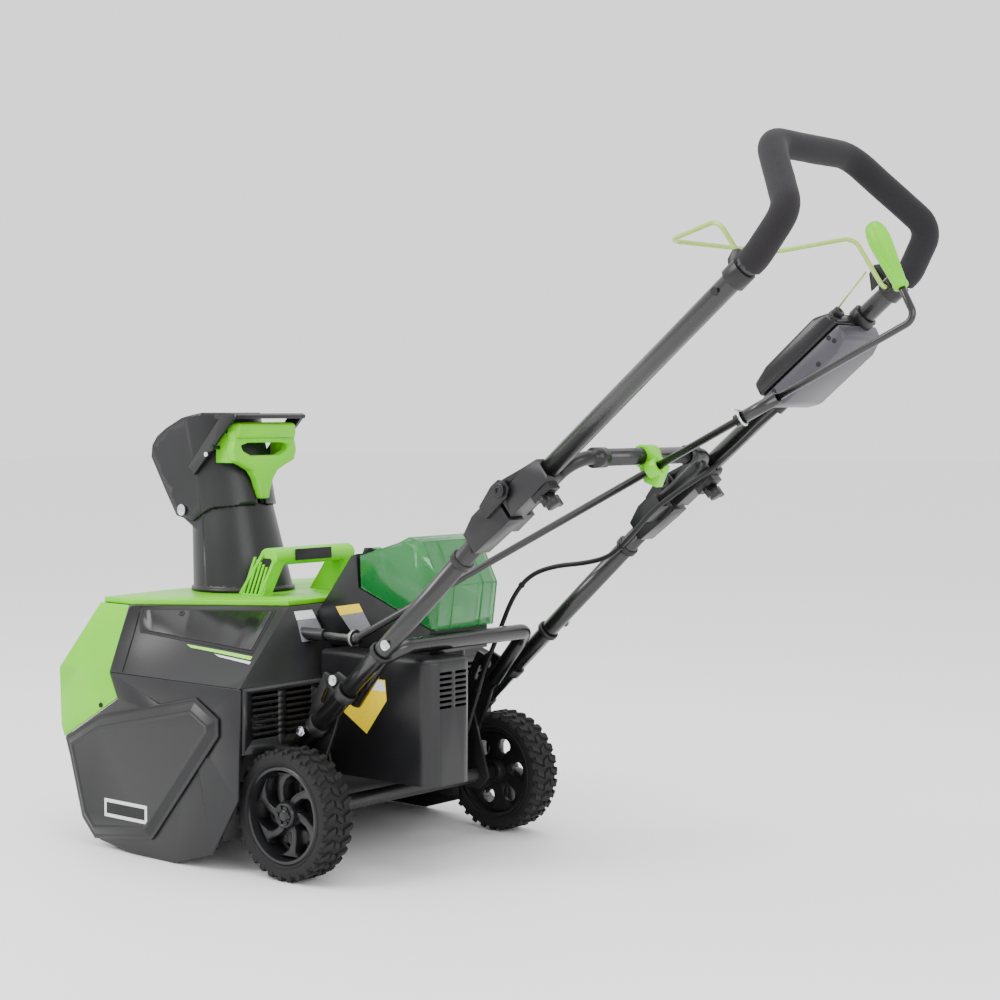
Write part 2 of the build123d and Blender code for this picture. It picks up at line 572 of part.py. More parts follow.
with BuildPart() as deflector:
    loft([hood_plan(450, HOOD_HALF), hood_plan(640, HOOD_HALF)])
    loft([hood_plan(449, HOOD_HALF - 3), hood_plan(641, HOOD_HALF - 3)], mode=Mode.SUBTRACT)
    outline = [(-361, 465), (-396, 472), (-420, 507), (-454, 560), (-452, 578), (-440, 592), (-420, 604),
               (-383, 620),
               (-345, 628), (-240, 628), (-250, 494), (-320, 486)]
    extrude(polygon(chute_side(-100), outline), amount=200, mode=Mode.INTERSECT)
    extrude(disc(chute_side(-100), 4.08, (HINGE_Y, HINGE_Z)), amount=200, mode=Mode.SUBTRACT)
    extrude(polygon(chute_side(-8), [(-300, 480), (-262, 480), (-262, 509), (-300, 509)]), amount=16,
            mode=Mode.SUBTRACT)
pieces["deflector"] = deflector

with BuildPart() as deflector_bracket:
    for flip in (1, -1):
        bar = [(-362, 547), (-350, 535), (-262, 619), (-262, 626), (-286, 626)]
        extrude(polygon(chute_side(flip * (HOOD_HALF + 0.3)), bar), amount=flip * 5)
    extrude(polygon(chute_side(-HOOD_HALF - 5), [(-303, 619), (-258, 619), (-256, 624), (-262, 627),
                                                 (-303, 627)]),
            amount=2 * HOOD_HALF + 10)
    for flip in (1, -1):
        extrude(disc(chute_side(flip * (HOOD_HALF - 9)), 3, (TRIGGER_Y, TRIGGER_Z)), amount=flip * 16)
        extrude(disc(chute_side(flip * (HOOD_HALF + 5.4)), 5, (TRIGGER_Y, TRIGGER_Z)), amount=flip * 2.5)
pieces["deflector_bracket"] = deflector_bracket

with BuildPart() as deflector_grip:
    for flip in (1, -1):
        arm = [(-323, 557), (-315, 544), (-304, 556), (-288, 545), (-266, 545), (-264, 613), (-288, 613),
               (-300, 598),
               (-318, 590), (-318, 570)]
        extrude(polygon(chute_side(flip * (HOOD_HALF - 8)), arm), amount=flip * 7.5)
    half = HOOD_HALF - 2
    extrude(polygon(chute_side(-half), [(-290, 587), (-268, 587), (-262, 594), (-264, 610), (-284, 613),
                                        (-291, 606)]),
            amount=2 * half)
    extrude(polygon(chute_side(-half), [(-286, 538), (-268, 536), (-264, 545), (-266, 560), (-286, 560)]),
            amount=2 * half)
    extrude(polygon(chute_side(-9), [(-278, 498), (-266, 498), (-266, 545), (-280, 545)]), amount=18)
    extrude(polygon(chute_side(-6), [(-287.8, 499), (-270, 499), (-270, 506), (-288.8, 506)]), amount=12)
    extrude(disc(chute_side(-100), 3.06, (TRIGGER_Y, TRIGGER_Z)), amount=200, mode=Mode.SUBTRACT)
pieces["deflector_grip"] = deflector_grip

# -------------------------------------------------------------- carry handle
with BuildPart() as carry_handle:
    for x in (62, -80):
        leg = [(-255, DECK_TOP + 0.1), (-208, DECK_TOP + 0.1), (-179, 410), (-181, 424), (-206, 424)]
        extrude(polygon(side(x), leg), amount=18)
    with BuildSketch(side(-80)):
        with Locations((-194, 418)):
            Ellipse(18, 13)
    extrude(amount=160)
    with BuildSketch(level(DECK_TOP + 0.1)):
        with Locations((71, -229), (-71, -229)):
            RectangleRounded(24, 50, 5)
    extrude(amount=2.4)
pieces["carry_handle"] = carry_handle

# --------------------------------------------------------- crank and its rod
JOINT = (WORM_X, 0, CRANK_Z)
BEND = (-46, 785, 740)
ROD_R = 5
ROD_DIR = (Vector(*BEND) - Vector(*JOINT)).normalized()
ARM_DIR = Vector(-0.06, -0.49, 0.87).normalized()


def along_rod(y):
    """Point of the crank rod's centre line that lies y behind the axle."""
    share = y / BEND[1]
    return at(*[a + (b - a) * share for a, b in zip(JOINT, BEND)])


with BuildPart() as worm_shaft:
    spine = Plane(origin=at(WORM_X, -352, CRANK_Z), x_dir=(1, 0, 0), z_dir=(0, 1, 0))
    extrude(disc(spine, 5), amount=352 - 9)
    for ring in range(9):
        extrude(disc(spine.offset(2 + 7 * ring), WORM_R), amount=4)
    with BuildSketch(side(WORM_X)) as cup:
        with Locations((0, CRANK_Z)):
            Circle(13)
            Circle(9.3, mode=Mode.SUBTRACT)
        with Locations((24, CRANK_Z)):
            Rectangle(50, 40, mode=Mode.SUBTRACT)
        with Locations((0, CRANK_Z - 20)):
            Rectangle(60, 40, mode=Mode.SUBTRACT)
    revolve(cup.sketch, axis=Axis(at(*JOINT), (0, 1, 0)))
pieces["worm_shaft"] = worm_shaft

with BuildPart() as crank_rod_lower:
    add(rod(at(*JOINT), along_rod(588), ROD_R))
    add(rod(along_rod(560), along_rod(588), 8))
    add(rod(along_rod(588), along_rod(614), 8, ROD_R - 0.45))
    with Locations(at(*JOINT)):
        Sphere(9)
pieces["crank_rod_lower"] = crank_rod_lower

bend_point = at(*BEND)
arm_end = bend_point + ARM_DIR * 128
with BuildPart() as crank_rod_upper:
    add(bent([along_rod(590), bend_point, arm_end], [14], ROD_R - 0.5))
pieces["crank_rod_upper"] = crank_rod_upper

with BuildPart() as hairpin_clip:
    start = along_rod(568)
    ring = Plane(origin=start, z_dir=ROD_DIR)
    with BuildSketch(Plane(origin=start, x_dir=ring.x_dir, z_dir=ring.y_dir)) as wire:
        with Locations((9.7, 0)):
            Circle(1.6)
    revolve(wire.sketch, axis=Axis(start, ROD_DIR))
    add(rod(start + ring.x_dir * 9.7, start + ring.x_dir * 9.7 + ring.y_dir * 26, 1.5))
pieces["hairpin_clip"] = hairpin_clip

with BuildPart() as crank_grip:
    start = bend_point + ARM_DIR * 42
    for z0, z1, r0, r1 in ((0, 12, 9, 13), (12, 62, 13, 14), (62, 93, 14, 10)):
        loft([disc(Plane(origin=start + ARM_DIR * z0, z_dir=ARM_DIR), r0).face(),
              disc(Plane(origin=start + ARM_DIR * z1, z_dir=ARM_DIR), r1).face()])
    add(rod(start - ARM_DIR * 5, start + ARM_DIR * 87, ROD_R - 0.5 + 0.08), mode=Mode.SUBTRACT)
pieces["crank_grip"] = crank_grip

# ------------------------------------------------- handle, knuckles, crossbar
def knuckle(x):
    """Plane facing +X at the fold pivot, local X along the upper tube."""
    return side(x, PIVOT_Y, PIVOT_Z, UPPER_TILT)


TUBE_N = (upper_line(PIVOT_Y) - PIVOT_Z) * cos(radians(UPPER_TILT))   # tube line below the pivot
SLEEVE = TUBE_R + 2

with BuildPart() as knuckle_bases:
    block = [(-86, TUBE_N - 14.5), (-86, TUBE_N + 15), (-60, 5), (-14, 5), (-14, TUBE_N - 17),
             (-30, TUBE_N - 17)]
    extrude(polygon(knuckle(TUBE_X - SLEEVE), block), amount=2 * SLEEVE)
    cheek = [(-40, -14), (-40, 5), (-8, 13), (6, 12), (13, 4), (13, -6), (4, -13)]
    for x in (TUBE_X - SLEEVE - 4, TUBE_X + SLEEVE + 0.5):
        extrude(polygon(knuckle(x), cheek), amount=3.5)
    for x in (TUBE_X - SLEEVE - 0.6, TUBE_X + SLEEVE - 0.2):
        extrude(polygon(knuckle(x), [(-40, -14), (-40, 5), (-14, 5), (-14, -14)]), amount=0.8)
    socket = [(-48, TUBE_N - 11), (-48, TUBE_N + 11), (-13, TUBE_N + 11), (-13, TUBE_N - 11)]
    extrude(polygon(knuckle(135.5), socket), amount=TUBE_X - SLEEVE - 135)
    add(rod(at(TUBE_X, 240, lower_line(240)), at(TUBE_X, 325.5, lower_line(325.5)), TUBE_R + 0.1),
        mode=Mode.SUBTRACT)
    extrude(disc(knuckle(TUBE_X - SLEEVE - 4), 4), amount=2 * SLEEVE + 8)
    extrude(disc(knuckle(TUBE_X + SLEEVE + 4), 8), amount=3)
    mirror(about=Plane.YZ)
pieces["knuckle_bases"] = knuckle_bases

with BuildPart() as knuckle_arms:
    arm = [(-9, TUBE_N - 15), (62, TUBE_N - 15), (68, TUBE_N - 12), (68, TUBE_N + 15), (40, 2), (9, 10),
           (0, 12.5),
           (-8, 9), (-11, 0), (-9, -8)]
    extrude(polygon(knuckle(TUBE_X - SLEEVE + 0.2), arm), amount=2 * SLEEVE - 0.4)
    foot = [(28, TUBE_N - 24), (60, TUBE_N - 24), (60, TUBE_N - 12), (28, TUBE_N - 12)]
    extrude(polygon(knuckle(TUBE_X - 10), foot), amount=20)
    add(rod(at(TUBE_X, 333, upper_line(333)), at(TUBE_X, 450, upper_line(450)), TUBE_R + 0.1),
        mode=Mode.SUBTRACT)
    extrude(disc(knuckle(130), 4.06), amount=80, mode=Mode.SUBTRACT)
    add(rod(knuckle(TUBE_X).from_local_coords((44, TUBE_N - 30, 0)),
            knuckle(TUBE_X).from_local_coords((44, TUBE_N, 0)), 4.08),
        mode=Mode.SUBTRACT)
    mirror(about=Plane.YZ)
pieces["knuckle_arms"] = knuckle_arms


def make_knob(name, flip):
    """Wing knob under the folding knuckle, its stub in the arm's foot."""
    frame = knuckle(flip * TUBE_X)
    top, mid, low = (frame.from_local_coords((44, TUBE_N - d, 0)) for d in (13.5, 25, 40))
    with BuildPart() as knob:
        add(rod(top, mid, 4))
        add(rod(mid, low, 9))
        with BuildSketch(Plane(origin=mid, x_dir=(1, 0, 0), z_dir=low - mid)):
            with PolarLocations(0, 2):
                with Locations((10, 0)):
                    RectangleRounded(16, 7, 3)
        extrude(amount=14)
    pieces[f"wing_knob_{name}"] = knob


make_knob("left", 1)
make_knob("right", -1)

ELBOW_X = 147
COLLAR_X = 96
with BuildPart() as crossbar:
    add(rod(at(-COLLAR_X + 8, CROSSBAR_Y, CROSSBAR_Z), at(COLLAR_X - 8, CROSSBAR_Y, CROSSBAR_Z), 11, 9.5))
pieces["crossbar"] = crossbar

leg_end = knuckle(ELBOW_X).from_local_coords((-12.6, TUBE_N, 0))
with BuildPart() as crossbar_elbows:
    corner = at(ELBOW_X, CROSSBAR_Y, CROSSBAR_Z)
    add(bent([leg_end, corner, at(COLLAR_X - 6, CROSSBAR_Y, CROSSBAR_Z)], [30], 9))
    add(rod(at(COLLAR_X + 14, CROSSBAR_Y, CROSSBAR_Z), at(COLLAR_X - 4, CROSSBAR_Y, CROSSBAR_Z), 13))
    add(rod(at(COLLAR_X - 8, CROSSBAR_Y, CROSSBAR_Z), at(COLLAR_X - 3.9, CROSSBAR_Y, CROSSBAR_Z), 13))
    add(rod(at(COLLAR_X - 20, CROSSBAR_Y, CROSSBAR_Z), at(COLLAR_X - 7.9, CROSSBAR_Y, CROSSBAR_Z), 11.05),
        mode=Mode.SUBTRACT)
    mirror(about=Plane.YZ)
pieces["crossbar_elbows"] = crossbar_elbows

ROD_AT_BAR = 449
with BuildPart() as crank_guide:
    centre = along_rod(ROD_AT_BAR)
    add(rod(at(-14, CROSSBAR_Y, CROSSBAR_Z), at(8, CROSSBAR_Y, CROSSBAR_Z), 15))
    add(rod(centre - ROD_DIR * 8, centre + ROD_DIR * 8, 11))
    web = [(418, 586), (436, 586), (462, 560), (450, 534), (432, 540), (424, 558)]
    extrude(polygon(side(-2), web), amount=14)
    add(rod(centre - ROD_DIR * 60, centre + ROD_DIR * 60, ROD_R + 0.6), mode=Mode.SUBTRACT)
    add(rod(at(-40, CROSSBAR_Y, CROSSBAR_Z), at(40, CROSSBAR_Y, CROSSBAR_Z), 11.1), mode=Mode.SUBTRACT)
pieces["crank_guide"] = crank_guide

LOOP = [(TUBE_X, 706, upper_line(706)), (163, 739, 856), (89, 667, 944)]
LOOP_RADII = [34, 30, 42]


def loop_route(start_y):
    half = [(TUBE_X, start_y, upper_line(start_y))] + LOOP
    return [at(*p) for p in half] + [at(-x, y, z) for x, y, z in reversed(half)]


with BuildPart() as upper_handle:
    add(bent(loop_route(350.4), LOOP_RADII + LOOP_RADII[::-1], TUBE_R, TUBE_R - 1.6))
pieces["upper_handle"] = upper_handle

with BuildPart() as foam_grip:
    add(bent(loop_route(694), LOOP_RADII + LOOP_RADII[::-1], 17.5, TUBE_R + 0.1))
pieces["foam_grip"] = foam_grip

WIRE_R = 3
with BuildPart() as bail:
    half = [(159.5, BAIL_Y, BAIL_Z), (148, BAIL_Y, BAIL_Z), (152, 638, 850), (115, 543, 834)]
    route = [at(*p) for p in half] + [at(-x, y, z) for x, y, z in reversed(half)]
    add(bent(route, [6, 22, 30, 30, 22, 6], WIRE_R))
pieces["bail"] = bail

with BuildPart() as bail_brackets:
    low, high = BAIL_Y - 8, BAIL_Y + 8
    add(rod(at(TUBE_X, low, upper_line(low)), at(TUBE_X, high, upper_line(high)), TUBE_R + 3.5))
    add(rod(at(154, BAIL_Y, BAIL_Z), at(170, BAIL_Y, BAIL_Z), 7))
    add(rod(at(TUBE_X, 640, upper_line(640)), at(TUBE_X, 720, upper_line(720)), TUBE_R + 0.1),
        mode=Mode.SUBTRACT)
    add(rod(at(140, BAIL_Y, BAIL_Z), at(160, BAIL_Y, BAIL_Z), WIRE_R + 0.08), mode=Mode.SUBTRACT)
    mirror(about=Plane.YZ)
pieces["bail_brackets"] = bail_brackets

# --------------------------------------------------------------- control box
BOX_NEAR, BOX_FAR = -110, -205


def box(x):
    """Plane facing +X on the tube line at the control box, local X along the tube."""
    return side(x, BOX_Y, upper_line(BOX_Y), UPPER_TILT)


def box_shell(outline, inner, x0=BOX_FAR, x1=BOX_NEAR):
    with BuildPart() as shell:
        extrude(polygon(box(x0), outline), amount=x1 - x0)
        extrude(polygon(box(x0 + 2.5), inner), amount=x1 - x0 - 5, mode=Mode.SUBTRACT)
        add(rod(at(-TUBE_X, 480, upper_line(480)), at(-TUBE_X, 680, upper_line(680)), TUBE_R + 0.1),
            mode=Mode.SUBTRACT)
    return shell.part


with BuildPart() as control_cover:
    add(box_shell([(-72, -8), (-68, 14), (-40, 20), (52, 22), (74, 12), (76, -8)],
                  [(-69, -9), (-65.5, 12), (-40, 17.4), (52, 19.4), (71.5, 10), (73, -9)]))
    add(rod(box(-134).from_local_coords((-24, 10, 0)), box(-134).from_local_coords((-24, 40, 0)), 9),
        mode=Mode.SUBTRACT)
pieces["control_cover"] = control_cover

with BuildPart() as control_base:
    add(box_shell([(-72, -8.3), (76, -8.3), (72, -28), (50, -36), (-50, -36), (-70, -26)],
                  [(-69, -8), (73, -8), (69.5, -26), (49, -33.4), (-49, -33.4), (-67.2, -24)]))
pieces["control_base"] = control_base

with BuildPart() as start_button:
    frame = box(-134)
    add(rod(frame.from_local_coords((-24, 10, 0)), frame.from_local_coords((-24, 25, 0)), 8.5))
    add(rod(frame.from_local_coords((-24, 8, 0)), frame.from_local_coords((-24, 10, 0)), 11))
pieces["start_button"] = start_button

# -------------------------------------------------------------------- cables
CABLE_R = 3.5
LOWER_ROUTE = [(-88, -26, 117.7), (-88, -26, 98), (-106, -24, 86), (-126, -8, 116), (-131, 14, 185),
               (-127, 40, 250),
               (-126, 72, 312), (-131, 92, 362), (-138, 118, 395), (-144, 160, 410), (-147, 212, 416),
               (-141, 262, 428), (-129, 304, 457), (-127, 345, 497), (-129, 390, 526), (-130, 438, 553)]
UPPER_ROUTE = [(-132, 454, 567), (-139, 479, 590), (-149, 505, 618),
               tuple(box(-157).from_local_coords((-72.2, -18, 0)) - at(0, 0, 0))]
for name, route in (("lower_cable", LOWER_ROUTE), ("handle_cable", UPPER_ROUTE)):
    points = [at(*p) for p in route]
    with BuildPart() as cable:
        add(bent(points, cable_radii(points), CABLE_R))
    pieces[name] = cable

with BuildPart() as bail_cable:
    add(rod(box(-152).from_local_coords((60, 22.5, 0)), at(-152, 656, 806), 1.2))
pieces["bail_cable"] = bail_cable

os.makedirs("parts", exist_ok=True)
for name, piece in pieces.items():
    piece.part.label = name
    export_step(piece.part, f"parts/{name}.step")
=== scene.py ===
# %% [markdown]
# # A cordless snow thrower
#
# This lesson dresses a finished engineering model.  The solids, their sizes and
# the joints already exist, so here we only give every surface its look: treads on
# the tyres, spokes in the rims, foam on the grip, ribs, decals and
# materials.  We work in metres, with +Z up, +X to the machine's left and -Y to the
# front.
# %% Load the model
import json
import math

import bpy
from mathutils import Matrix, Vector


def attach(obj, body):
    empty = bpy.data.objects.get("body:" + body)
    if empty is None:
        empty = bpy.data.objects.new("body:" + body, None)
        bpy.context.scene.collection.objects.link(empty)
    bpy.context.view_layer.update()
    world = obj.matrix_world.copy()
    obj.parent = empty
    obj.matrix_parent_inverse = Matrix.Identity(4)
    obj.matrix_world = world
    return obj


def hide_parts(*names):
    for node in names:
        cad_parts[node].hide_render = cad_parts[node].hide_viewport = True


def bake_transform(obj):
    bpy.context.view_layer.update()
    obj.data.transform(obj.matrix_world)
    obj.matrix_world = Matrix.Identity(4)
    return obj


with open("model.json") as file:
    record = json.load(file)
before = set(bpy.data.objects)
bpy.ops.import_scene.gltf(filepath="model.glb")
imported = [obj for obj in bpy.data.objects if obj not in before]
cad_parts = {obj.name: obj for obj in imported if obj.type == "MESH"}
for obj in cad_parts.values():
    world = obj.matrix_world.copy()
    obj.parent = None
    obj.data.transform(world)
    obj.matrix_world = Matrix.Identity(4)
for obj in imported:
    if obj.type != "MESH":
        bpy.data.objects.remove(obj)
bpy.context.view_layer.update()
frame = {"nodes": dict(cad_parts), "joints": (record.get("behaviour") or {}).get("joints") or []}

# %% [markdown]
# Most dimensions of a wheeled machine are easiest to read from its wheel axle.
# `at(x, y, z)` takes millimetres left of the middle, behind the axle and above the
# ground, and gives a point in the scene.
# %% Measuring from the axle
joints = {j["name"]: j for j in frame["joints"]}
AXLE_Y = joints["wheel_left_spin"]["pos_m"][1]
AXLE_Z = joints["wheel_left_spin"]["pos_m"][2]
MM = 0.001


def at(x, y, z):
    """A point in the scene from millimetres left, behind the axle and up."""
    return Vector((x * MM, AXLE_Y + y * MM, z * MM))


print("axle", round(AXLE_Y, 4), round(AXLE_Z, 4))

# %% [markdown]
# ## Small modelling tools
#
# Each tool below does by script what you would do by hand. `draw` starts from a
# plane merged to one vertex and extrudes that vertex from point to point. `plate`
# fills such a line and extrudes it into a slab. `lathe` spins it round an axis.
# %% Modelling tools
def deselect():
    if bpy.context.object and bpy.context.object.mode != "OBJECT":
        bpy.ops.object.mode_set(mode="OBJECT")
    bpy.ops.object.select_all(action="DESELECT")


def draw(points):
    """Extrude one vertex along points; leaves the new object in edit mode."""
    deselect()
    bpy.ops.mesh.primitive_plane_add(size=0.001)
    bpy.ops.object.mode_set(mode="EDIT")
    bpy.ops.mesh.select_mode(type="VERT")
    bpy.ops.mesh.select_all(action="SELECT")
    bpy.ops.mesh.merge(type="CENTER")
    bpy.ops.transform.translate(value=points[0])
    for start, end in zip(points, points[1:]):
        bpy.ops.mesh.extrude_region_move(TRANSFORM_OT_translate={"value": end - start})
    bpy.ops.mesh.select_all(action="SELECT")
    return bpy.context.object


def plate(points, thickness):
    """A slab: the closed outline through points, extruded by the vector thickness."""
    piece = draw(points)
    bpy.ops.mesh.edge_face_add()
    bpy.ops.mesh.extrude_region_move(TRANSFORM_OT_translate={"value": thickness})
    bpy.ops.mesh.select_all(action="SELECT")
    bpy.ops.mesh.normals_make_consistent(inside=False)
    bpy.ops.object.mode_set(mode="OBJECT")
    return piece


def lathe(points, centre, axis, steps=48):
    """A turned shape: the line through points spun once round an axis."""
    piece = draw(points)
    bpy.ops.mesh.spin(steps=steps, angle=math.tau, center=centre, axis=axis)
    bpy.ops.mesh.select_all(action="SELECT")
    bpy.ops.mesh.remove_doubles(threshold=0.00002)
    bpy.ops.mesh.normals_make_consistent(inside=False)
    bpy.ops.object.mode_set(mode="OBJECT")
    return piece


def block(low, high):
    """A box between two corners, as a cube primitive at its size and place."""
    deselect()
    low, high = Vector(low), Vector(high)
    bpy.ops.mesh.primitive_cube_add(size=1, location=(low + high) / 2, scale=high - low)
    bpy.ops.object.transform_apply(location=True, rotation=True, scale=True)
    return bpy.context.object


def pipe(points, radius, smooth=True, sides=6):
    """A round wire or hose through points, as a bevelled curve made into a mesh."""
    deselect()
    curve = bpy.data.curves.new("pipe", "CURVE")
    curve.dimensions = "3D"
    curve.bevel_depth = radius
    curve.bevel_resolution = sides
    curve.resolution_u = 10
    curve.use_fill_caps = True
    spline = curve.splines.new("NURBS" if smooth else "POLY")
    spline.points.add(len(points) - 1)
    for slot, point in zip(spline.points, points):
        slot.co = (*point, 1)
    if smooth:
        spline.order_u = 3
        spline.use_endpoint_u = True
    piece = bpy.data.objects.new("pipe", curve)
    bpy.context.scene.collection.objects.link(piece)
    piece.select_set(True)
    bpy.context.view_layer.objects.active = piece
    bpy.ops.object.convert(target="MESH")
    return bpy.context.object


def soften(piece, width, segments=2, angle=30):
    """Round the sharp edges by width millimetres."""
    bevel = piece.modifiers.new("edges", "BEVEL")
    bevel.width = width * MM
    bevel.segments = segments
    bevel.angle_limit = math.radians(angle)
    bevel.harden_normals = True
    return piece


def apply_all(piece):
    deselect()
    piece.select_set(True)
    bpy.context.view_layer.objects.active = piece
    for modifier in list(piece.modifiers):
        bpy.ops.object.modifier_apply(modifier=modifier.name)
    bpy.ops.object.transform_apply(location=True, rotation=True, scale=True)


def join(pieces):
    """Several meshes made one; modifiers are applied first."""
    for piece in pieces:
        if piece.modifiers:
            apply_all(piece)
    deselect()
    for piece in pieces:
        piece.select_set(True)
    bpy.context.view_layer.objects.active = pieces[0]
    bpy.ops.object.join()
    return bpy.context.object


def copy_moved(piece, matrix):
    """A copy with its own mesh, moved by matrix."""
    twin = piece.copy()
    twin.data = piece.data.copy()
    twin.data.transform(matrix)
    if matrix.determinant() < 0:
        twin.data.flip_normals()
    bpy.context.scene.collection.objects.link(twin)
    return twin


def turned(angle, axis, centre):
    """The matrix that turns by angle degrees round an axis through centre."""
    centre = Vector(centre)
    return Matrix.Translation(centre) @ Matrix.Rotation(math.radians(angle), 4,
                                                        axis) @ Matrix.Translation(-centre)


def pick(piece, test):
    """Enter edit mode with only the faces selected whose centre and normal pass test."""
    deselect()
    bpy.context.view_layer.objects.active = piece
    piece.select_set(True)
    bpy.ops.object.mode_set(mode="EDIT")
    bpy.ops.mesh.select_mode(type="FACE")
    bpy.ops.mesh.select_all(action="DESELECT")
    bpy.ops.object.mode_set(mode="OBJECT")
    for face in piece.data.polygons:
        face.select = test(face.center, face.normal)
    bpy.ops.object.mode_set(mode="EDIT")


def slide(piece, test, offset):
    """Move the faces that pass test by offset, as with the G key."""
    pick(piece, test)
    bpy.ops.transform.translate(value=offset)
    bpy.ops.object.mode_set(mode="OBJECT")
    return piece


def ring(centre, axis, inner, outer, length, steps=32):
    """A plain collar round an axis, starting at centre and running along axis."""
    axis = Vector(axis).normalized()
    out = axis.orthogonal().normalized()
    corners = [(inner, 0), (outer, 0), (outer, length), (inner, length), (inner, 0)]
    points = [Vector(centre) + out * r * MM + axis * h * MM for r, h in corners]
    return lathe(points, centre, axis, steps)


def strip(line_a, line_b, thickness):
    """A skin bridged between two lines of equally many points, thickness mm thick."""
    second = draw(line_b)
    bpy.ops.object.mode_set(mode="OBJECT")
    first = draw(line_a)
    bpy.ops.object.mode_set(mode="OBJECT")
    piece = join([first, second])
    bpy.ops.object.mode_set(mode="EDIT")
    bpy.ops.mesh.select_mode(type="EDGE")
    bpy.ops.mesh.select_all(action="SELECT")
    bpy.ops.mesh.bridge_edge_loops()
    bpy.ops.object.mode_set(mode="OBJECT")
    solid = piece.modifiers.new("thickness", "SOLIDIFY")
    solid.thickness = thickness * MM
    solid.offset = 0
    return piece


MIRROR_X = Matrix.Scale(-1, 4, (1, 0, 0))
BENDS = "bends between two bodies"


def settle(piece, name, body, material, replaces=(), angle=35):
    """Apply, name, shade and hand a finished piece to its body."""
    apply_all(piece)
    piece.name = piece.data.name = name
    piece.data.materials.clear()
    piece.data.materials.append(material)
    bpy.ops.object.shade_smooth_by_angle(angle=math.radians(angle))
    if body != BENDS:
        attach(piece, body)
    if replaces:
        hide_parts(*replaces)
    print(f"{name}: {len(piece.data.polygons)} faces on {body}")
    return piece

# %% [markdown]
# ## Materials
#
# The colours are sRGB hex values, as a colour picker shows them, and one function
# turns them into the linear values that Cycles works with.  `add` makes a node,
# sets it up and links it in one call.
# %% Colour and node helpers
def linear(code):
    """sRGB hex such as "#A8D82C" as a linear RGBA colour."""
    channels = [int(code[i:i + 2], 16) / 255 for i in (1, 3, 5)]
    return (*[c / 12.92 if c <= 0.04045 else ((c + 0.055) / 1.055) ** 2.4 for c in channels], 1)


def add(tree, kind, settings=None, **inputs):
    """A node of this kind, with its settings and its inputs set or linked."""
    node = tree.nodes.new("ShaderNode" + kind)
    for key, value in (settings or {}).items():
        setattr(node, key, value)
    for key, value in inputs.items():
        socket = node.inputs[key.replace("_", " ")]
        if isinstance(value, bpy.types.NodeSocket):
            tree.links.new(value, socket)
        else:
            socket.default_value = value
    return node


def new_material(name, **base):
    """A material with its tree, its Principled shader and object coordinates."""
    material = bpy.data.materials.new(name)
    material.use_nodes = True
    tree = material.node_tree
    shader = tree.nodes["Principled BSDF"]
    for key, value in base.items():
        shader.inputs[key.replace("_", " ")].default_value = value
    place = add(tree, "TexCoord").outputs["Object"]
    return material, tree, shader, place


def ramp(tree, source, low, high, start=0.35, end=0.65):
    """Map a 0 to 1 pattern between two values or colours, sharply or softly."""
    colours = isinstance(low, tuple)
    if colours:
        mix = add(tree, "Mix", {"data_type": "RGBA"})
        mapped = add(tree, "MapRange", Value=source, From_Min=start, From_Max=end)
        tree.links.new(mapped.outputs["Result"], mix.inputs["Factor"])
        mix.inputs[6].default_value, mix.inputs[7].default_value = low, high
        return mix.outputs[2]
    return add(tree, "MapRange", Value=source, From_Min=start, From_Max=end, To_Min=low,
               To_Max=high).outputs["Result"]


def bump(tree, shader, height, distance, strength=1.0):
    """Feed a height pattern, distance metres deep, to the shader's normal."""
    relief = add(tree, "Bump", Height=height, Distance=distance, Strength=strength)
    tree.links.new(relief.outputs["Normal"], shader.inputs["Normal"])


# %% [markdown]
# ### Moulded plastics
#
# The shells are injection-moulded ABS.  The mould is spark-eroded, which leaves an
# even grain of about a third of a millimetre: too fine to show at this distance,
# so it is drawn 1.2 mm across.  Slow changes of gloss stop large panels looking
# computed.  Charcoal parts are matt, lime parts have more shine.
# %% Moulded plastics
def moulded(name, dark, light, roughness, grain=0.00004, size=0.0012):
    material, tree, shader, place = new_material(name, IOR=1.53, Specular_IOR_Level=0.35)
    drift = add(tree, "TexNoise", Vector=place, Scale=9.0, Detail=3.0).outputs["Fac"]
    pits = add(tree, "TexNoise", Vector=place, Scale=1 / size, Detail=2.0).outputs["Fac"]
    tree.links.new(ramp(tree, drift, linear(dark), linear(light)), shader.inputs["Base Color"])
    tree.links.new(ramp(tree, drift, roughness - 0.05, roughness + 0.05), shader.inputs["Roughness"])
    bump(tree, shader, pits, grain, 0.6)
    return material


charcoal_abs = moulded("charcoal_abs", "#151517", "#1B1B1D", 0.36)
smooth_charcoal_abs = moulded("smooth_charcoal_abs", "#131315", "#18181A", 0.25, grain=0.00002)
grey_abs = moulded("grey_abs", "#3E3C43", "#46444B", 0.36)
lime_abs = moulded("lime_abs", "#66C400", "#70CE04", 0.34, grain=0.00002)
# A darker copy of the lime plastic, which paints shade onto lime parts that sit under the shell.
shaded_lime_abs = moulded("shaded_lime_abs", "#58B400", "#62BE04", 0.34, grain=0.00002)
wheel_nylon = moulded("wheel_nylon", "#161618", "#1C1C1E", 0.34, grain=0.00003)
# This near-black plastic is the real colour of screws, cable ties, the badge and label centres; laid in the
# flank recess and the strut pockets it is painted shade.
black_and_painted_shade = moulded("black_and_painted_shade", "#0C0C0D", "#101012", 0.6)

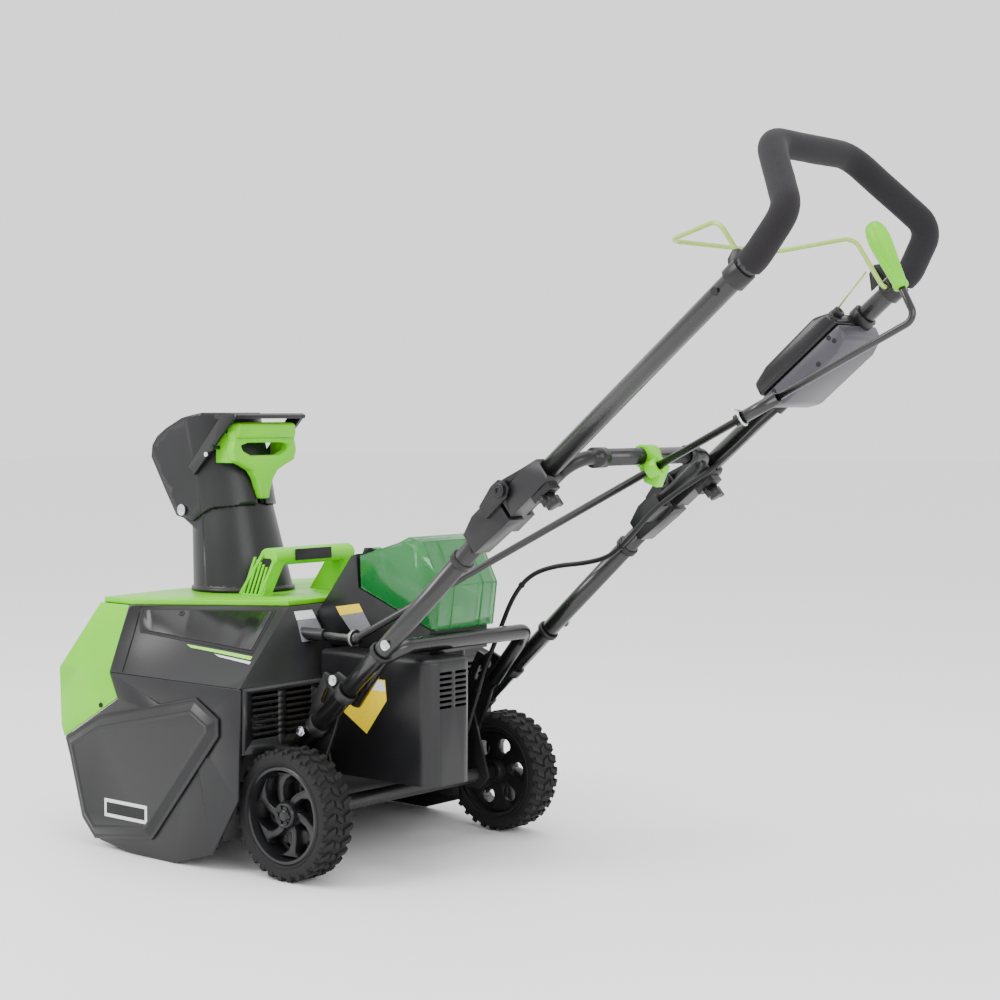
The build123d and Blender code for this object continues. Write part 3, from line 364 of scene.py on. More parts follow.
# %% [markdown]
# ### Enamel and powder coat on steel
#
# The handle tubes are sprayed with satin enamel, which flows out nearly flat.  The
# sheet-steel parts are powder coated: the powder melts into the faint dimples
# called orange peel, about 2 mm across.
# %% Coated steel
def coated(name, colour, roughness, dimple, size=0.002, coat=0.0):
    material, tree, shader, place = new_material(name, IOR=1.5, Coat_Weight=coat, Coat_Roughness=0.12)
    peel = add(tree, "TexNoise", Vector=place, Scale=1 / size, Detail=1.0).outputs["Fac"]
    drift = add(tree, "TexNoise", Vector=place, Scale=14.0, Detail=4.0).outputs["Fac"]
    shader.inputs["Base Color"].default_value = linear(colour)
    tree.links.new(ramp(tree, drift, roughness - 0.05, roughness + 0.06), shader.inputs["Roughness"])
    bump(tree, shader, peel, dimple, 0.5)
    return material


satin_enamel = coated("satin_enamel", "#0E0E0F", 0.3, 0.00002, coat=0.3)
powder_coat = coated("powder_coat", "#111112", 0.42, 0.00006)
bail_enamel = coated("bail_enamel", "#9CC050", 0.3, 0.00002, coat=0.4)

# %% [markdown]
# ### Bare metal
#
# Bolts and pins are zinc plated: a bright, slightly blue metal whose polish wears
# unevenly.  Shafts and the motor case are plain turned steel with fine rings.
# %% Bare metal
def metal(name, colour, roughness, size):
    material, tree, shader, place = new_material(name, Metallic=1.0)
    shader.inputs["Base Color"].default_value = linear(colour)
    stain = add(tree, "TexNoise", Vector=place, Scale=1 / size, Detail=4.0).outputs["Fac"]
    tree.links.new(ramp(tree, stain, roughness - 0.08, roughness + 0.12), shader.inputs["Roughness"])
    bump(tree, shader, stain, 0.00002, 0.4)
    return material


zinc_plate = metal("zinc_plate", "#D5D7DA", 0.26, 0.003)
turned_steel = metal("turned_steel", "#A5A5A8", 0.36, 0.002)

# %% [markdown]
# ### Rubber, foam and cable jacket
#
# Tyre rubber is matt and slightly grey where dust sits in it.  The grip is
# closed-cell foam: its skin is velvety, with pores about half a millimetre wide
# drawn at 1.5 mm, and a weak sheen at grazing angles.
# %% Rubber and foam
def soft_skin(name, dark, light, roughness, size, depth, sheen=0.0):
    material, tree, shader, place = new_material(
        name, IOR=1.5, Specular_IOR_Level=0.3, Sheen_Weight=sheen, Sheen_Roughness=0.5)
    cells = add(tree, "TexVoronoi", Vector=place, Scale=1 / size).outputs["Distance"]
    cloud = add(tree, "TexNoise", Vector=place, Scale=30.0, Detail=5.0).outputs["Fac"]
    tree.links.new(ramp(tree, cloud, linear(dark), linear(light)), shader.inputs["Base Color"])
    tree.links.new(ramp(tree, cloud, roughness - 0.06, roughness + 0.04), shader.inputs["Roughness"])
    bump(tree, shader, cells, depth, 0.7)
    return material


tyre_rubber = soft_skin("tyre_rubber", "#141415", "#1D1D1E", 0.78, 0.002, 0.0001)
nitrile_foam = soft_skin("nitrile_foam", "#1B191C", "#211F22", 0.92, 0.0015, 0.00025, sheen=0.06)
paddle_rubber = soft_skin("paddle_rubber", "#1D1D1E", "#272728", 0.7, 0.003, 0.0001)
pvc_jacket = soft_skin("pvc_jacket", "#111112", "#181819", 0.45, 0.002, 0.00002)

# %% [markdown]
# ### Clear and printed plastics
#
# The battery lid is tinted polycarbonate, clear enough to show the pack beneath.
# Decals are printed vinyl with a satin overlaminate.
# %% Clear and printed plastics
tinted_lid, lid_tree, lid_shader, lid_place = new_material(
    "tinted_lid", IOR=1.58, Roughness=0.06, Alpha=0.62, Transmission_Weight=0.3)
lid_shader.inputs["Base Color"].default_value = linear("#128A38")
lid_cloud = add(lid_tree, "TexNoise", Vector=lid_place, Scale=12.0, Detail=2.0).outputs["Fac"]
lid_tree.links.new(ramp(lid_tree, lid_cloud, 0.05, 0.12), lid_shader.inputs["Roughness"])

clear_lens, lens_tree, lens_shader, lens_place = new_material(
    "clear_lens", IOR=1.49, Transmission_Weight=0.5, Alpha=0.8)
lens_shader.inputs["Base Color"].default_value = linear("#DDE3E8")
flutes = add(lens_tree, "TexWave", {"bands_direction": "X"}, Vector=lens_place, Scale=60.0).outputs["Fac"]
lens_tree.links.new(ramp(lens_tree, flutes, 0.08, 0.2), lens_shader.inputs["Roughness"])


def vinyl(name, colour):
    material, tree, shader, place = new_material(name, IOR=1.5)
    ink = add(tree, "TexNoise", Vector=place, Scale=400.0, Detail=1.0).outputs["Fac"]
    shade = tuple(0.9 * c for c in linear(colour)[:3]) + (1,)
    tree.links.new(ramp(tree, ink, shade, linear(colour)), shader.inputs["Base Color"])
    tree.links.new(ramp(tree, ink, 0.3, 0.42), shader.inputs["Roughness"])
    return material


vinyl_white = vinyl("vinyl_white", "#DADBDD")
vinyl_grey = vinyl("vinyl_grey", "#77787C")
vinyl_yellow = vinyl("vinyl_yellow", "#F2D21C")
vinyl_lime = vinyl("vinyl_lime", "#8FE04A")
print(len(bpy.data.materials), "materials")

# %% [markdown]
# ## Dressing the model's own parts
#
# Many parts are already the right shape and are not replaced by the pieces below.
# They keep their mesh and get a material,
# and where a moulding or a casting would have rounded edges, a weld joins their
# loose triangles and a bevel rounds the edges by a radius in millimetres.
# %% Materials and rounded edges for the model's parts
DRESS = {
    charcoal_abs: dict(upper_body=2.5, rear_wall=0, rear_body=2, motor_cover=1.5, battery_bay=1.5,
                       chute=0, deflector=0, deflector_bracket=1.8, knuckle_bases=1.5, knuckle_arms=1.5,
                       wing_knob_left=0, wing_knob_right=0, crossbar_elbows=0, bail_brackets=0.6,
                       scraper_bar=0.8, battery_pack=1.5, side_plates=1.5, auger_drum=0, belly_pan=0.5),
    lime_abs: dict(front_fascia=2.5, top_deck=1.5, carry_handle=2, battery_latch=0.5, start_button=0.8,
                   crank_guide=1.5),
    satin_enamel: dict(lower_tubes=0, upper_handle=0, crossbar=0, crank_rod_lower=0, crank_rod_upper=0,
                       frame_hoop=0),
    powder_coat: dict(leg_plates=0.6, axle=0.6),
    bail_enamel: dict(bail=0, bail_cable=0),
    zinc_plate: dict(frame_bolts=0.3, hood_bolts=0.3, hairpin_clip=0),
    turned_steel: dict(auger_shaft=0, auger_bearings=0, motor_stator=0, motor_rotor=0, controller=0,
                       worm_shaft=0),
    paddle_rubber: dict(auger_paddles=0.8, drive_belt=0),
    tinted_lid: dict(battery_lid=0.8),
    clear_lens: dict(lamp_lenses=0.8),
}
for material, parts in DRESS.items():
    for name, radius in parts.items():
        part = frame["nodes"][name]
        part.data.materials.clear()
        part.data.materials.append(material)
        weld = part.modifiers.new("weld", "WELD")
        weld.merge_threshold = 0.00001
        if radius:
            soften(part, radius)
        deselect()
        part.select_set(True)
        bpy.context.view_layer.objects.active = part
        bpy.ops.object.shade_smooth_by_angle(angle=math.radians(32))
print(sum(len(parts) for parts in DRESS.values()), "parts dressed")

# %% [markdown]
# ## Wheels
#
# Small wheels of this kind are a nylon rim with a rubber tyre pressed on.  The
# carcass is turned from one outline.  The tread is three rows of leaning lugs that
# cross like a herringbone, with shoulder lugs that reach down the side wall, so one
# lug of each row is shaped and then copied round.
# %% Tyre
AXLE = at(0, 0, AXLE_Z / MM)
LUG_ROWS = 30


def polar(x, radius, angle):
    """A point on the wheel: x across, radius and angle in degrees round the axle."""
    turn = math.radians(angle)
    return at(x, radius * math.cos(turn), AXLE_Z / MM + radius * math.sin(turn))


def lug(low_x, high_x, lean, inner, outer, width):
    """One tread lug at the top of the wheel, its far end leaning round the tyre."""
    low, high = at(low_x, -width / 2, AXLE_Z / MM + inner), at(high_x, width / 2, AXLE_Z / MM + outer)
    piece = block(low, high)
    slide(piece, lambda c, n: n.x > 0.9, (0, lean * MM, 0))
    pick(piece, lambda c, n: n.z > 0.9)
    bpy.ops.transform.resize(value=(0.86, 0.8, 1))
    bpy.ops.object.mode_set(mode="OBJECT")
    return piece


CARCASS = [(194, 66.9), (190.8, 70.5), (191.8, 71.5), (190.4, 77), (191.2, 82), (195, 84.8),
           (216.5, 85.6), (238, 84.8),
           (241.8, 82), (242.6, 77), (241.2, 71.5), (242.2, 70.5), (239, 66.9), (194, 66.9)]
carcass = lathe([polar(x, r, 90) for x, r in CARCASS], AXLE, (1, 0, 0), steps=90)
lugs = [lug(193.5, 209, 7, 84, 88.9, 8.5), lug(211, 222, -7, 84, 88.9, 9.5),
        lug(224, 239.5, 7, 84, 88.9, 8.5),
        lug(190.3, 196, 2, 77.5, 86.8, 7), lug(237, 242.7, 2, 77.5, 86.8, 7)]
offsets = [0, 6, 0, 0, 0]
tread = [copy_moved(one, turned(offset + 360 / LUG_ROWS * step, "X", AXLE))
         for one, offset in zip(lugs, offsets) for step in range(LUG_ROWS)]
for one in lugs:
    bpy.data.objects.remove(one)
tyre = join([carcass] + tread)
tyre_twin = copy_moved(tyre, MIRROR_X)
settle(tyre, "treaded_tyre_left", "wheel_left", tyre_rubber, ["tyre_left"])
settle(tyre_twin, "treaded_tyre_right", "wheel_right", tyre_rubber, ["tyre_right"])

# %% [markdown]
# The rim has a flat disc with round holes on the machine's side and six swept
# spokes on the outside, standing on that disc.  The holes are cut with a boolean,
# each spoke is one bevelled plate, and the hub is turned.
# %% Rim
SPOKES = 6
BAND = [(194, 66.8), (239, 66.8), (240.6, 65), (240.2, 61.4), (235, 60.4), (214, 58.8), (197, 60.4),
        (194, 62.4),
        (194, 66.8)]
band = lathe([polar(x, r, 90) for x, r in BAND], AXLE, (1, 0, 0), steps=72)
DISC = [(203, 14), (203, 60.5), (208.5, 60.5), (209.5, 57), (209.5, 14), (203, 14)]
disc = lathe([polar(x, r, 90) for x, r in DISC], AXLE, (1, 0, 0), steps=72)
cutters = []
for step in range(SPOKES):
    deselect()
    bpy.ops.mesh.primitive_cylinder_add(vertices=32, radius=0.0115, depth=0.04,
                                        location=polar(206, 41, 60 * step + 8),
                                        rotation=(0, math.pi / 2, 0))
    bpy.ops.object.transform_apply(location=True, rotation=True, scale=True)
    cutters.append(bpy.context.object)
cutter = join(cutters)
holes = disc.modifiers.new("holes", "BOOLEAN")
holes.object = cutter
apply_all(disc)
bpy.data.objects.remove(cutter)
soften(disc, 1.0)

SPOKE = [(15, -16), (27, -15), (38, -19), (47, -27), (54, -38), (60.8, -50), (60.8, -8), (54, -12),
         (46, -9), (36, 0),
         (26, 10), (15, 22)]
spoke = plate([polar(208, r, a) for r, a in SPOKE], Vector((0.024, 0, 0)))
slide(spoke, lambda c, n: n.x > 0.9, (-0.002, 0, 0))
soften(spoke, 2.0, segments=3)
apply_all(spoke)
spokes = [copy_moved(spoke, turned(60 * step, "X", AXLE)) for step in range(SPOKES)]
bpy.data.objects.remove(spoke)
HUB = [(191, 8.2), (191, 16), (194, 17.5), (229, 19), (235, 18), (237, 16), (236.6, 13.5), (235, 12.5),
       (235, 8.5),
       (237.5, 7.5), (238.5, 5), (238.6, 0.1), (233.8, 0.1), (233.8, 8.2), (191, 8.2)]
hub = lathe([polar(x, r, 90) for x, r in HUB], AXLE, (1, 0, 0), steps=48)
bosses = []
for step in range(SPOKES):
    bosses.append(ring(polar(234, 11.2, 60 * step), (1, 0, 0), 0.6, 2.1, 3.6, steps=12))
rim = join([band, disc, hub] + spokes + bosses)
rim_twin = copy_moved(rim, MIRROR_X)
settle(rim, "spoked_rim_left", "wheel_left", wheel_nylon, ["rim_left"])
settle(rim_twin, "spoked_rim_right", "wheel_right", wheel_nylon, ["rim_right"])

# %% [markdown]
# ## Body
#
# The drive cover on each side is a moulded lid.  It has a flat rim, a chamfer and a
# raised face with a fine step inside it.  Two insets of one polygon make all of
# that, and the other side is a mirrored copy.
# %% Drive covers
COVER = [(-430, 155), (-352, 193), (-143, 237), (-97, 212), (-97, 188), (-238, 27), (-365, 12), (-394, 40)]
cover = plate([at(262.3, y, z) for y, z in COVER], Vector((0.0035, 0, 0)))
pick(cover, lambda c, n: n.x > 0.9)
bpy.ops.mesh.inset(thickness=0.006, depth=0)
bpy.ops.mesh.inset(thickness=0.009, depth=0.0066)
bpy.ops.mesh.inset(thickness=0.004, depth=0)
bpy.ops.mesh.inset(thickness=0.0012, depth=-0.0009)
bpy.ops.object.mode_set(mode="OBJECT")
soften(cover, 1.0, segments=3, angle=18)
cover_pair = join([cover, copy_moved(cover, MIRROR_X)])
settle(cover_pair, "drive_cover_skins", "machine", charcoal_abs, ["drive_covers"])

# %% [markdown]
# The upper body's flank twists from upright to leaning as it runs back.  `flank`
# gives a point on it from two shares, along and up, plus a lift off the surface, so
# panels and stripes can follow the twist.
# %% Flank panel, stripe and seam
LOW_EDGE = (Vector((262, -332.5, 257)), Vector((262, -57, 257)))
HIGH_EDGE = (Vector((236, -319.5, 352)), Vector((105, -127, 352)))


def flank(along, up, lift=0.0):
    low, high = LOW_EDGE[0].lerp(LOW_EDGE[1], along), HIGH_EDGE[0].lerp(HIGH_EDGE[1], along)
    run = LOW_EDGE[1].lerp(HIGH_EDGE[1], up) - LOW_EDGE[0].lerp(HIGH_EDGE[0], up)
    out = run.cross(high - low).normalized()
    return at(*(low.lerp(high, up) + out * lift))


def flank_strip(tops, bottoms, lift, thickness, steps=12):
    """A skin on the flank between two lines, each given as (along, up) corners."""
    lines = []
    for corners in (tops, bottoms):
        line = []
        for step in range(steps + 1):
            share = step / steps * (len(corners) - 1)
            index = min(int(share), len(corners) - 2)
            a, b = corners[index], corners[index + 1]
            part = share - index
            line.append(flank(a[0] + (b[0] - a[0]) * part, a[1] + (b[1] - a[1]) * part, lift))
        lines.append(line)
    return strip(lines[0], lines[1], thickness)


def both_sides(piece):
    """Join a piece to its mirror image on the other side."""
    apply_all(piece)
    return join([piece, copy_moved(piece, MIRROR_X)])


# A near-black strip under each flank panel, larger than the panel, shows as a dark line round it: painted
# shade along the edge of the recess.
recess_shade = flank_strip([(0.075, 0.95), (0.94, 0.95)], [(0.13, 0.6), (0.5, 0.5), (0.95, 0.4)], 0.2, 0.8)
settle(both_sides(recess_shade), "flank_recess_shadows", "machine", black_and_painted_shade)
panel = flank_strip([(0.1, 0.925), (0.925, 0.925)], [(0.15, 0.635), (0.5, 0.535), (0.935, 0.435)], 1.1, 1.6)
soften(panel, 0.7)
settle(both_sides(panel), "flank_panels", "machine", smooth_charcoal_abs)
stripe = flank_strip([(0.48, 0.47), (0.96, 0.37)], [(0.52, 0.43), (0.96, 0.33)], 0.45, 0.4)
settle(both_sides(stripe), "flank_stripes", "machine", vinyl_lime)
tail = flank_strip([(0.7, 0.37), (0.97, 0.31)], [(0.74, 0.34), (0.97, 0.28)], 0.45, 0.4)
settle(both_sides(tail), "flank_pinstripes", "machine", vinyl_white)
seam = pipe([flank(0.075, 0.99, 0.2), flank(0.09, 0.6, 0.2), flank(0.1, 0.02, 0.2)], 0.0009,
            smooth=False, sides=3)
settle(both_sides(seam), "flank_seams", "machine", black_and_painted_shade)

# %% [markdown]
# Small parts finish the shell: screw heads, the battery decals on the rear slope,
# and a plain size label without lettering.
# %% Screws, labels and decals
screws = [ring(flank(0.36, 0.88, 1.2), (0.71, 0.42, 0.57), 1.4, 4.2, 1.6, steps=20),
          ring(at(262, -352, 207), (1, 0, 0), 1.4, 3.6, 1.8, steps=20)]
settle(both_sides(join(screws)), "shell_screws", "machine", black_and_painted_shade)


def side_decal(x, outline, lift=0.35):
    """A thin label on a face square to X, from (y, z) corners."""
    return plate([at(x, y, z) for y, z in outline], Vector((math.copysign(lift * MM, x), 0, 0)))


frame_outer = [(-334, 76), (-240, 76), (-240, 50), (-334, 50)]
frame_inner = [(-329, 71), (-245, 71), (-245, 55), (-329, 55)]
label = side_decal(271.6, frame_outer)
label_centre = side_decal(271.8, frame_inner, 0.4)
settle(both_sides(label), "size_labels", "machine", vinyl_white)
settle(both_sides(label_centre), "size_label_centres", "machine", black_and_painted_shade)

SLOPE_NORMAL = Vector((0, 0.805, 0.593))


def slope(x, up):
    """A point on the rear slope of the upper body, up from 0 to 1."""
    return at(x, -57 - 70 * up, 257 + 95 * up)


for name, material, corners in (
        ("slope_decal_grey", vinyl_grey, [(98, 0.9), (63, 0.9), (63, 0.5), (112, 0.5)]),
        ("slope_decal_band", vinyl_white, [(99, 0.92), (64, 0.92), (64, 0.8), (102, 0.8)])):
    decal = plate([slope(x, up) for x, up in corners], SLOPE_NORMAL * (0.0004 if "grey" in name else 0.0007))
    settle(decal, name, "machine", material)
settle(side_decal(60, [(-76, 352), (-30, 359), (-22, 348), (-67, 340)], 0.6), "bay_decal_top",
       "machine", vinyl_yellow)
settle(side_decal(60, [(-67, 340), (-22, 348), (-1, 321), (-43, 316)], 0.4), "bay_decal", "machine",
       vinyl_grey)
settle(side_decal(108, [(-16, 240), (28, 264), (66, 264), (69, 236), (31, 187), (-12, 212)], 0.4),
       "motor_decal",
       "machine", vinyl_yellow)
settle(side_decal(108, [(36, 262), (64, 262), (67, 248), (34, 248)], 0.6), "motor_decal_band",
       "machine", vinyl_white)

# %% [markdown]
# The green lip below the shell and behind the drum is a strip of the belly pan. It takes a darker copy of
# the lime plastic: painted shade under the overhang of the shell.
# %% Green sill
sill = [(-246, 40.4), (-140, 49.4), (-101, 61.4), (-101, 66), (-140, 54), (-246, 45)]
settle(plate([at(256.4, y, z) for y, z in sill], Vector((-0.5128, 0, 0))), "green_sill", "machine",
       shaded_lime_abs)

# %% [markdown]
# The carry handle's struts are hollow mouldings, stiffened by slanting ribs. A near-black sheet behind the
# lime ribs is painted shade in the pockets between them, so they show as dark slots between bright bars.
# %% Carry handle ribs and badge
# Near-black sheet behind the ribs: painted shade in the strut pockets.
pocket_shade = side_decal(80, [(-248, 363), (-212, 363), (-184, 409), (-190, 416), (-205, 416)], 0.4)
settle(both_sides(pocket_shade), "strut_pocket_painted_shade", "machine", black_and_painted_shade)
ribs = []
for step in range(6):
    foot = -249 + step * 8.4
    ribs.append(plate([at(80, foot + dy, z) for dy,
                       z in ((0, 362.5), (4, 362.5), (30 - step * 2.2, 417 - step * 3.4),
                                                         (26 - step * 2.2, 417 - step * 3.4))],
                                                         Vector((0.0022, 0, 0))))
ribs.append(plate([at(80, y, z) for y, z in ((-255, 362), (-250, 362), (-203, 420), (-206, 424))],
                  Vector((0.003, 0, 0))))
ribs.append(plate([at(80, y, z) for y, z in ((-213, 362), (-208, 362), (-179, 410), (-183, 414))],
                  Vector((0.003, 0, 0))))
settle(both_sides(join(ribs)), "strut_ribs", "machine", lime_abs)
badge = plate([at(44, -176.6, 428.5), at(-30, -176.6, 428.5), at(-30, -175.6, 412), at(44, -175.6, 412)],
              Vector((0, 0.0011, 0.0003)))
soften(badge, 0.4)
settle(badge, "blank_badge", "machine", black_and_painted_shade)

# %% [markdown]
# ## Chute and hood
#
# A green trigger frame sits behind the hood.  It has a thick rounded bar on top, a
# finger hole below it, and a stem that tapers down to the catch.  The outline is one
# closed line, the hole is cut with a boolean, and a bevel turns the edges round.
# %% Trigger frame
CHUTE_X = 15
FRAME = [(-63, 100), (-57, 111), (-48, 114.5), (48, 114.5), (57, 111), (63, 100), (61, 88), (65, 74),
         (60, 57), (42, 50),
         (26, 42), (17, 30), (10, 12), (8, 0), (-8, 0), (-10, 12), (-17, 30), (-26, 42), (-42, 50),
         (-60, 57), (-65, 74),
         (-61, 88)]
HOLE = [(-48, 80), (-34, 84), (34, 84), (48, 80), (44, 72), (28, 65), (-28, 65), (-44, 72)]


def behind(x, up, y):
    """A point on the trigger frame: x from the chute's middle, up from its foot."""
    return at(CHUTE_X + x, y, 499 + up)


trigger = plate([behind(x, up, -286) for x, up in FRAME], Vector((0, 0.017, 0)))
hole = plate([behind(x, up, -300) for x, up in HOLE], Vector((0, 0.05, 0)))
finger = trigger.modifiers.new("finger hole", "BOOLEAN")
finger.object = hole
apply_all(trigger)
bpy.data.objects.remove(hole)
soften(trigger, 3.2, segments=4, angle=25)
bar = block(behind(-60, 90, -290), behind(60, 114, -263))
soften(bar, 7, segments=5)
fins = [block(behind(-58 + flip, 54, -316), behind(-52 + flip, 98, -280)) for flip in (0, 110)]
for fin in fins:
    soften(fin, 2, segments=3)
trigger = join([trigger, bar] + fins)
settle(trigger, "trigger_frame", "hood_trigger", lime_abs, ["deflector_grip"])

# %% [markdown]
# A white cap covers each end of the pin that the trigger turns on.
# %% Trigger pins
pivots = [ring(at(x, -320, 566), (flip, 0, 0), 0.2, 3.4, 1.6) for x, flip in ((87.6, 1), (-57.6, -1))]
settle(join(pivots), "trigger_pins", "hood", vinyl_white)


# %% [markdown]
# ## Grips
#
# The foam sleeve is slipped over the bent tube.  Its skin is remeshed to even
# squares, smoothed, and pushed out and in by a soft noise of half a millimetre,
# because foam never lies quite evenly round a bend.
# %% Foam grip
sleeve = copy_moved(frame["nodes"]["foam_grip"], Matrix())
sleeve.modifiers.clear()
remesh = sleeve.modifiers.new("even skin", "REMESH")
remesh.mode = "VOXEL"
remesh.voxel_size = 0.0032
smoothing = sleeve.modifiers.new("smooth", "SMOOTH")
smoothing.factor, smoothing.iterations = 0.5, 5
uneven = bpy.data.textures.new("uneven foam", "CLOUDS")
uneven.noise_scale = 0.05
swell = sleeve.modifiers.new("swell", "DISPLACE")
swell.texture, swell.strength, swell.mid_level = uneven, 0.0012, 0.75
settle(sleeve, "foam_grip_sleeve", "handle", nitrile_foam, ["foam_grip"], angle=60)

# %% [markdown]
# The crank knob is drop shaped, and flutes along it give the palm a hold.  It's
# turned round the rod's arm, and groups of three columns of faces are pressed in.
# %% Crank knob
knob = joints["crank_knob_spin"]
KNOB_AXIS = Vector(knob["axis"]).normalized()
knob_points = [v.co for v in frame["nodes"]["crank_grip"].data.vertices]
KNOB_FOOT = Vector(knob["pos_m"])
KNOB_FOOT += KNOB_AXIS * min((p - KNOB_FOOT).dot(KNOB_AXIS) for p in knob_points)
KNOB_LENGTH = max((p - KNOB_FOOT).dot(KNOB_AXIS) for p in knob_points) / MM
DROP = [(4.7, 0), (8, 0), (9.4, 1.4), (9.6, 5), (8.8, 9), (10.2, 24), (12.2, 42), (13.7, 58), (14, 68),
        (13.2, 78),
        (11, 85.5), (8, 89.5), (4, 91.7), (0.1, 92.3)]
knob_side = KNOB_AXIS.orthogonal().normalized()
drop = lathe([KNOB_FOOT + knob_side * r * MM + KNOB_AXIS * h * MM for r, h in DROP], KNOB_FOOT,
             KNOB_AXIS, steps=36)


def in_flute(centre, normal):
    arm = centre - KNOB_FOOT
    height = arm.dot(KNOB_AXIS) / MM
    flat = arm - KNOB_AXIS * arm.dot(KNOB_AXIS)
    turn = math.degrees(math.atan2(flat.dot(KNOB_AXIS.cross(knob_side)), flat.dot(knob_side)))
    return 22 < height < 84 and round((turn - 5) / 10) % 6 in (0, 1, 2)


pick(drop, in_flute)
bpy.ops.mesh.inset(thickness=0.0012, depth=-0.0009)
bpy.ops.object.mode_set(mode="OBJECT")
soften(drop, 0.6, segments=2, angle=25)
settle(drop, "crank_drop_knob", "crank_knob", lime_abs, ["crank_grip"])
print("knob length", round(KNOB_LENGTH, 1))

# %% [markdown]
# ## Battery lid
#
# The tinted lid is crisp: edge beads run along its creases, and
# two run down its middle.
# %% Lid beads
LID = [(-28, 427), (48, 449), (66, 457), (92, 452), (124, 392), (116, 333)]
beads = []
for (y0, z0), (y1, z1) in zip(LID, LID[1:]):
    for x in (-58.6, -30, 30, 58.6):
        beads.append(pipe([at(x, y0, z0 - 1.2), at(x, y1, z1 - 1.2)], 0.0011, smooth=False, sides=2))
for y, z in LID[1:]:
    beads.append(pipe([at(-58.6, y - 0.9, z - 1.2), at(58.6, y - 0.9, z - 1.2)], 0.0011, smooth=False,
                      sides=2))
settle(join(beads), "lid_beads", "lid", tinted_lid)

# %% [markdown]
# ## Handle fittings
#
# The upper tubes rise at one constant slope, so a point beside them is given by how
# far along the tube and how far off it the point is.  `tubed` does that, measured
# from the middle of the control box.
# %% Measuring along the upper tube
SLOPE = math.atan(0.82)
BOX_Y, BOX_Z = 577, 698.9
ALONG = Vector((0, math.cos(SLOPE), math.sin(SLOPE)))


def tubed(x, along, off):
    return at(x, BOX_Y + along * ALONG.y - off * ALONG.z, BOX_Z + along * ALONG.z + off * ALONG.y)


# %% [markdown]
# The control box has a black cover and a grey base, both with large corner radii.
# The cover has a hole for the start button, and the base has screws in pits.
# %% Control box
LID_SIDE = [(-72, -7.4), (-69, 13), (-41, 20), (52, 22), (73, 12), (76, -7.4)]
TUB_SIDE = [(-72, -8.4), (76, -8.4), (72, -28), (50, -36), (-50, -36), (-70, -26)]
cover_box = plate([tubed(-205, u, v) for u, v in LID_SIDE], Vector((0.095, 0, 0)))
soften(cover_box, 6, segments=5, angle=20)
apply_all(cover_box)
deselect()
bpy.ops.mesh.primitive_cylinder_add(vertices=48, radius=0.0091, depth=0.03, location=tubed(-134, -24, 26),
                                    rotation=(SLOPE, 0, 0))
bpy.ops.object.transform_apply(location=True, rotation=True, scale=True)
button_hole = bpy.context.object
opening = cover_box.modifiers.new("button hole", "BOOLEAN")
opening.object = button_hole
apply_all(cover_box)
bpy.data.objects.remove(button_hole)
settle(cover_box, "control_box_cover", "handle", smooth_charcoal_abs, ["control_cover"])
tub = plate([tubed(-205, u, v) for u, v in TUB_SIDE], Vector((0.095, 0, 0)))
soften(tub, 5, segments=5, angle=20)
settle(tub, "control_box_tub", "handle", grey_abs, ["control_base"])
pits = [ring(tubed(-110.6, u, v), (1, 0, 0), 0.3, 3.2, 1.0, steps=20)
        for u, v in ((-56, -22), (-20, -30), (22, -30), (58, -22), (-50, -14), (54, -14))]
settle(join(pits), "control_box_screws", "handle", black_and_painted_shade)
boots = [ring(tubed(-175, 72, 0), ALONG, 12.6, 17, 14), ring(tubed(-175, -84, 0), ALONG, 12.6, 16, 14),
         ring(tubed(-152, 60, 18), ALONG.cross((-1, 0, 0)), 1.4, 7, 8),
         ring(tubed(-130, 68, 10), ALONG, 3, 7.5, 12), ring(tubed(-157, -84, -18), ALONG, 3.6, 7, 15)]
for boot in boots:
    soften(boot, 1.2, segments=3)
settle(join(boots), "control_box_boots", "handle", charcoal_abs)

# %% [markdown]
# The folding knuckles carry a round boss on each side of the pivot and a collar
# where the lower tube enters.  Up by the grip, a black tab and a hex bolt hold each
# end of the bail.
# %% Knuckle bosses, collars and bail tabs
fittings = []
for x in (151.5, 193.4):
    boss = ring(at(x, 344, 533), (1, 0, 0), 3, 9.5, 5)
    fittings.append(soften(boss, 1.2, segments=3))
DOWN_LINE = Vector((0, 313, 283)).normalized()
for y, length in ((262, 9), (120, 7)):
    collar = ring(at(175, y, 466 + (y - 293) * 283 / 313), DOWN_LINE, 12.6, 16, length)
    fittings.append(soften(collar, 1, segments=3))
settle(both_sides(join(fittings)), "knuckle_bosses", "machine", charcoal_abs)
tab = plate([tubed(157.5, u, v) for u, v in ((116, 11), (154, 11), (148, 30), (140, 35), (128, 31))],
            Vector((0.003, 0, 0)))
soften(tab, 1.4, segments=3)
hexes = [ring(tubed(187.3, u, 0), (1, 0, 0), 0.2, 5.2, 3, steps=6) for u in (106, 137)]
settle(both_sides(join([tab] + hexes)), "bail_tabs", "handle", charcoal_abs)

# %% [markdown]
# ## Cable
#
# One cable runs from the motor up the right leg to the control box.  It's a single
# smooth curve through the points where ties hold it.  It crosses the folding
# knuckle, so it is attached to neither the machine nor the handle.
# %% Motor cable
CABLE = [(-88, -26, 117.7), (-88, -26, 98), (-106, -24, 86), (-126, -8, 116), (-131, 14, 185),
         (-127, 40, 250),
         (-126, 72, 312), (-131, 92, 362), (-138, 118, 395), (-144, 160, 410), (-147, 212, 416),
         (-141, 262, 428),
         (-129, 304, 457), (-127, 345, 497), (-129, 390, 526), (-130, 438, 553), (-132, 454, 567),
         (-139, 479, 590),
         (-149, 505, 618)]
cable = pipe([at(*p) for p in CABLE] + [tubed(-157, -72.2, -18)], 0.0035, sides=4)
settle(cable, "motor_cable", BENDS, pvc_jacket, ["lower_cable", "handle_cable"])
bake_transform(cable)
ties = []
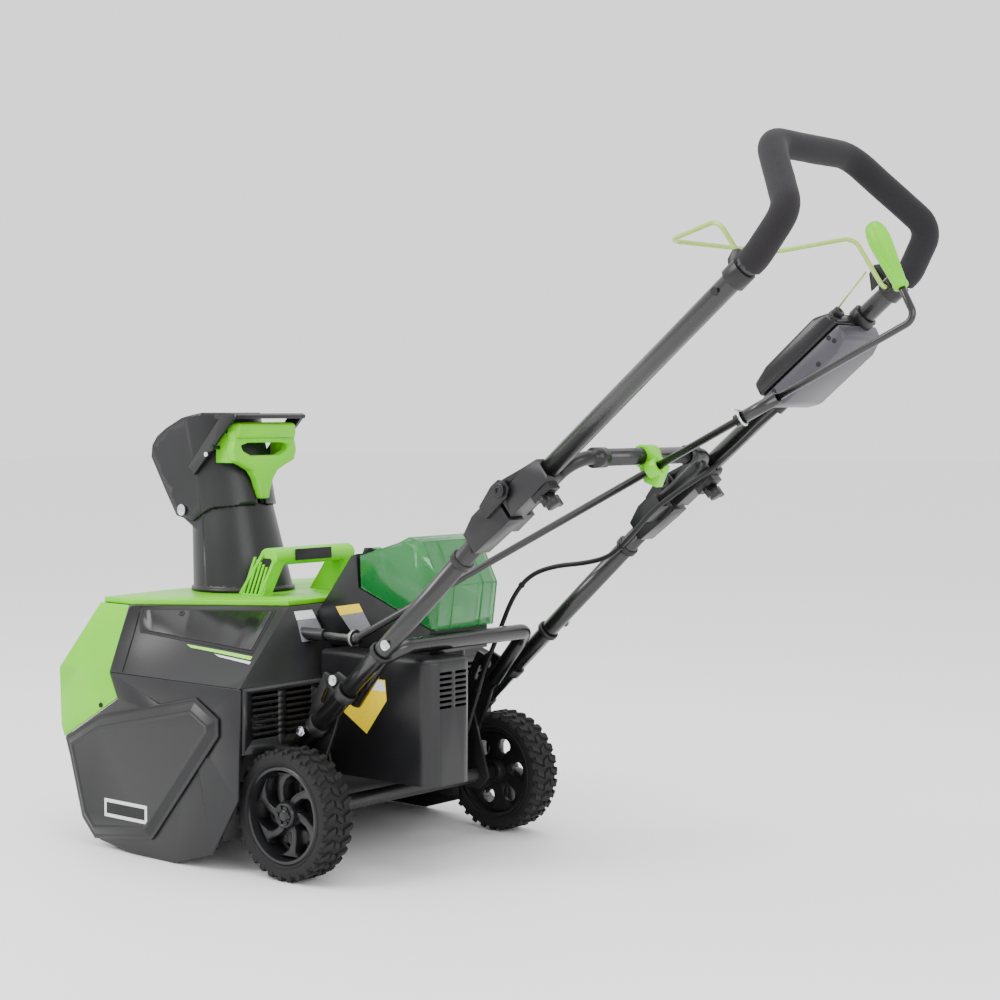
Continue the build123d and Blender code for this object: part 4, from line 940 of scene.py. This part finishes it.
for start, end in ((4, 5), (7, 8), (11, 12)):
    here, there = at(*CABLE[start]), at(*CABLE[end])
    ties.append(ring(here.lerp(there, 0.5), there - here, 3.4, 4.6, 4, steps=20))
settle(join(ties), "cable_ties", "machine", black_and_painted_shade)

# %% [markdown]
# ## Floor, light and camera
#
# A pale floor lies under a soft key light from the left front, a weaker fill from
# the left rear and a broad light overhead.  Black plastic is seen mostly by what it
# reflects, so the lights are large.
# %% Floor
deselect()
bpy.ops.mesh.primitive_plane_add(size=40, location=(0, 0, -0.0005))
floor = bpy.context.object
floor.name = "floor"
white_sweep = new_material("white_sweep", Roughness=0.55)[0]
white_sweep.node_tree.nodes["Principled BSDF"].inputs["Base Color"].default_value = linear("#FAFAFA")
floor.data.materials.append(white_sweep)

# %% Lights
world = bpy.data.worlds.new("studio")
world.use_nodes = True
bpy.context.scene.world = world
background = world.node_tree.nodes["Background"]
background.inputs["Color"].default_value = (1, 1, 1, 1)
background.inputs["Strength"].default_value = 1.5
TARGET = at(0, 150, 420)


def softbox(name, place, size, power):
    lamp = bpy.data.lights.new(name, "AREA")
    lamp.shape = "RECTANGLE"
    lamp.size, lamp.size_y = size
    lamp.energy = power
    light = bpy.data.objects.new(name, lamp)
    light.location = place
    light.rotation_euler = (TARGET - Vector(place)).to_track_quat("-Z", "Y").to_euler()
    bpy.context.scene.collection.objects.link(light)


softbox("key", (2.6, -1.6, 2.8), (1.8, 1.8), 95)
softbox("fill", (1.2, 3.2, 1.6), (2.2, 1.6), 50)
softbox("top", (0.2, 0.0, 3.2), (2.4, 2.4), 45)

# %% [markdown]
# The camera stands low, behind the machine's left side, with a short telephoto
# lens, so the machine reads in three-quarter view without leaning verticals.
# %% Camera
eye = bpy.data.cameras.new("camera")
eye.lens, eye.sensor_width = 72, 36
eye.clip_end = 60
camera = bpy.data.objects.new("camera", eye)
camera.location = at(2072.6, 1944.2, 633.2)
LOOK = Vector((-0.7607, -0.6475, -0.0454))
camera.rotation_euler = LOOK.to_track_quat("-Z", "Y").to_euler()
bpy.context.scene.collection.objects.link(camera)
bpy.context.scene.camera = camera
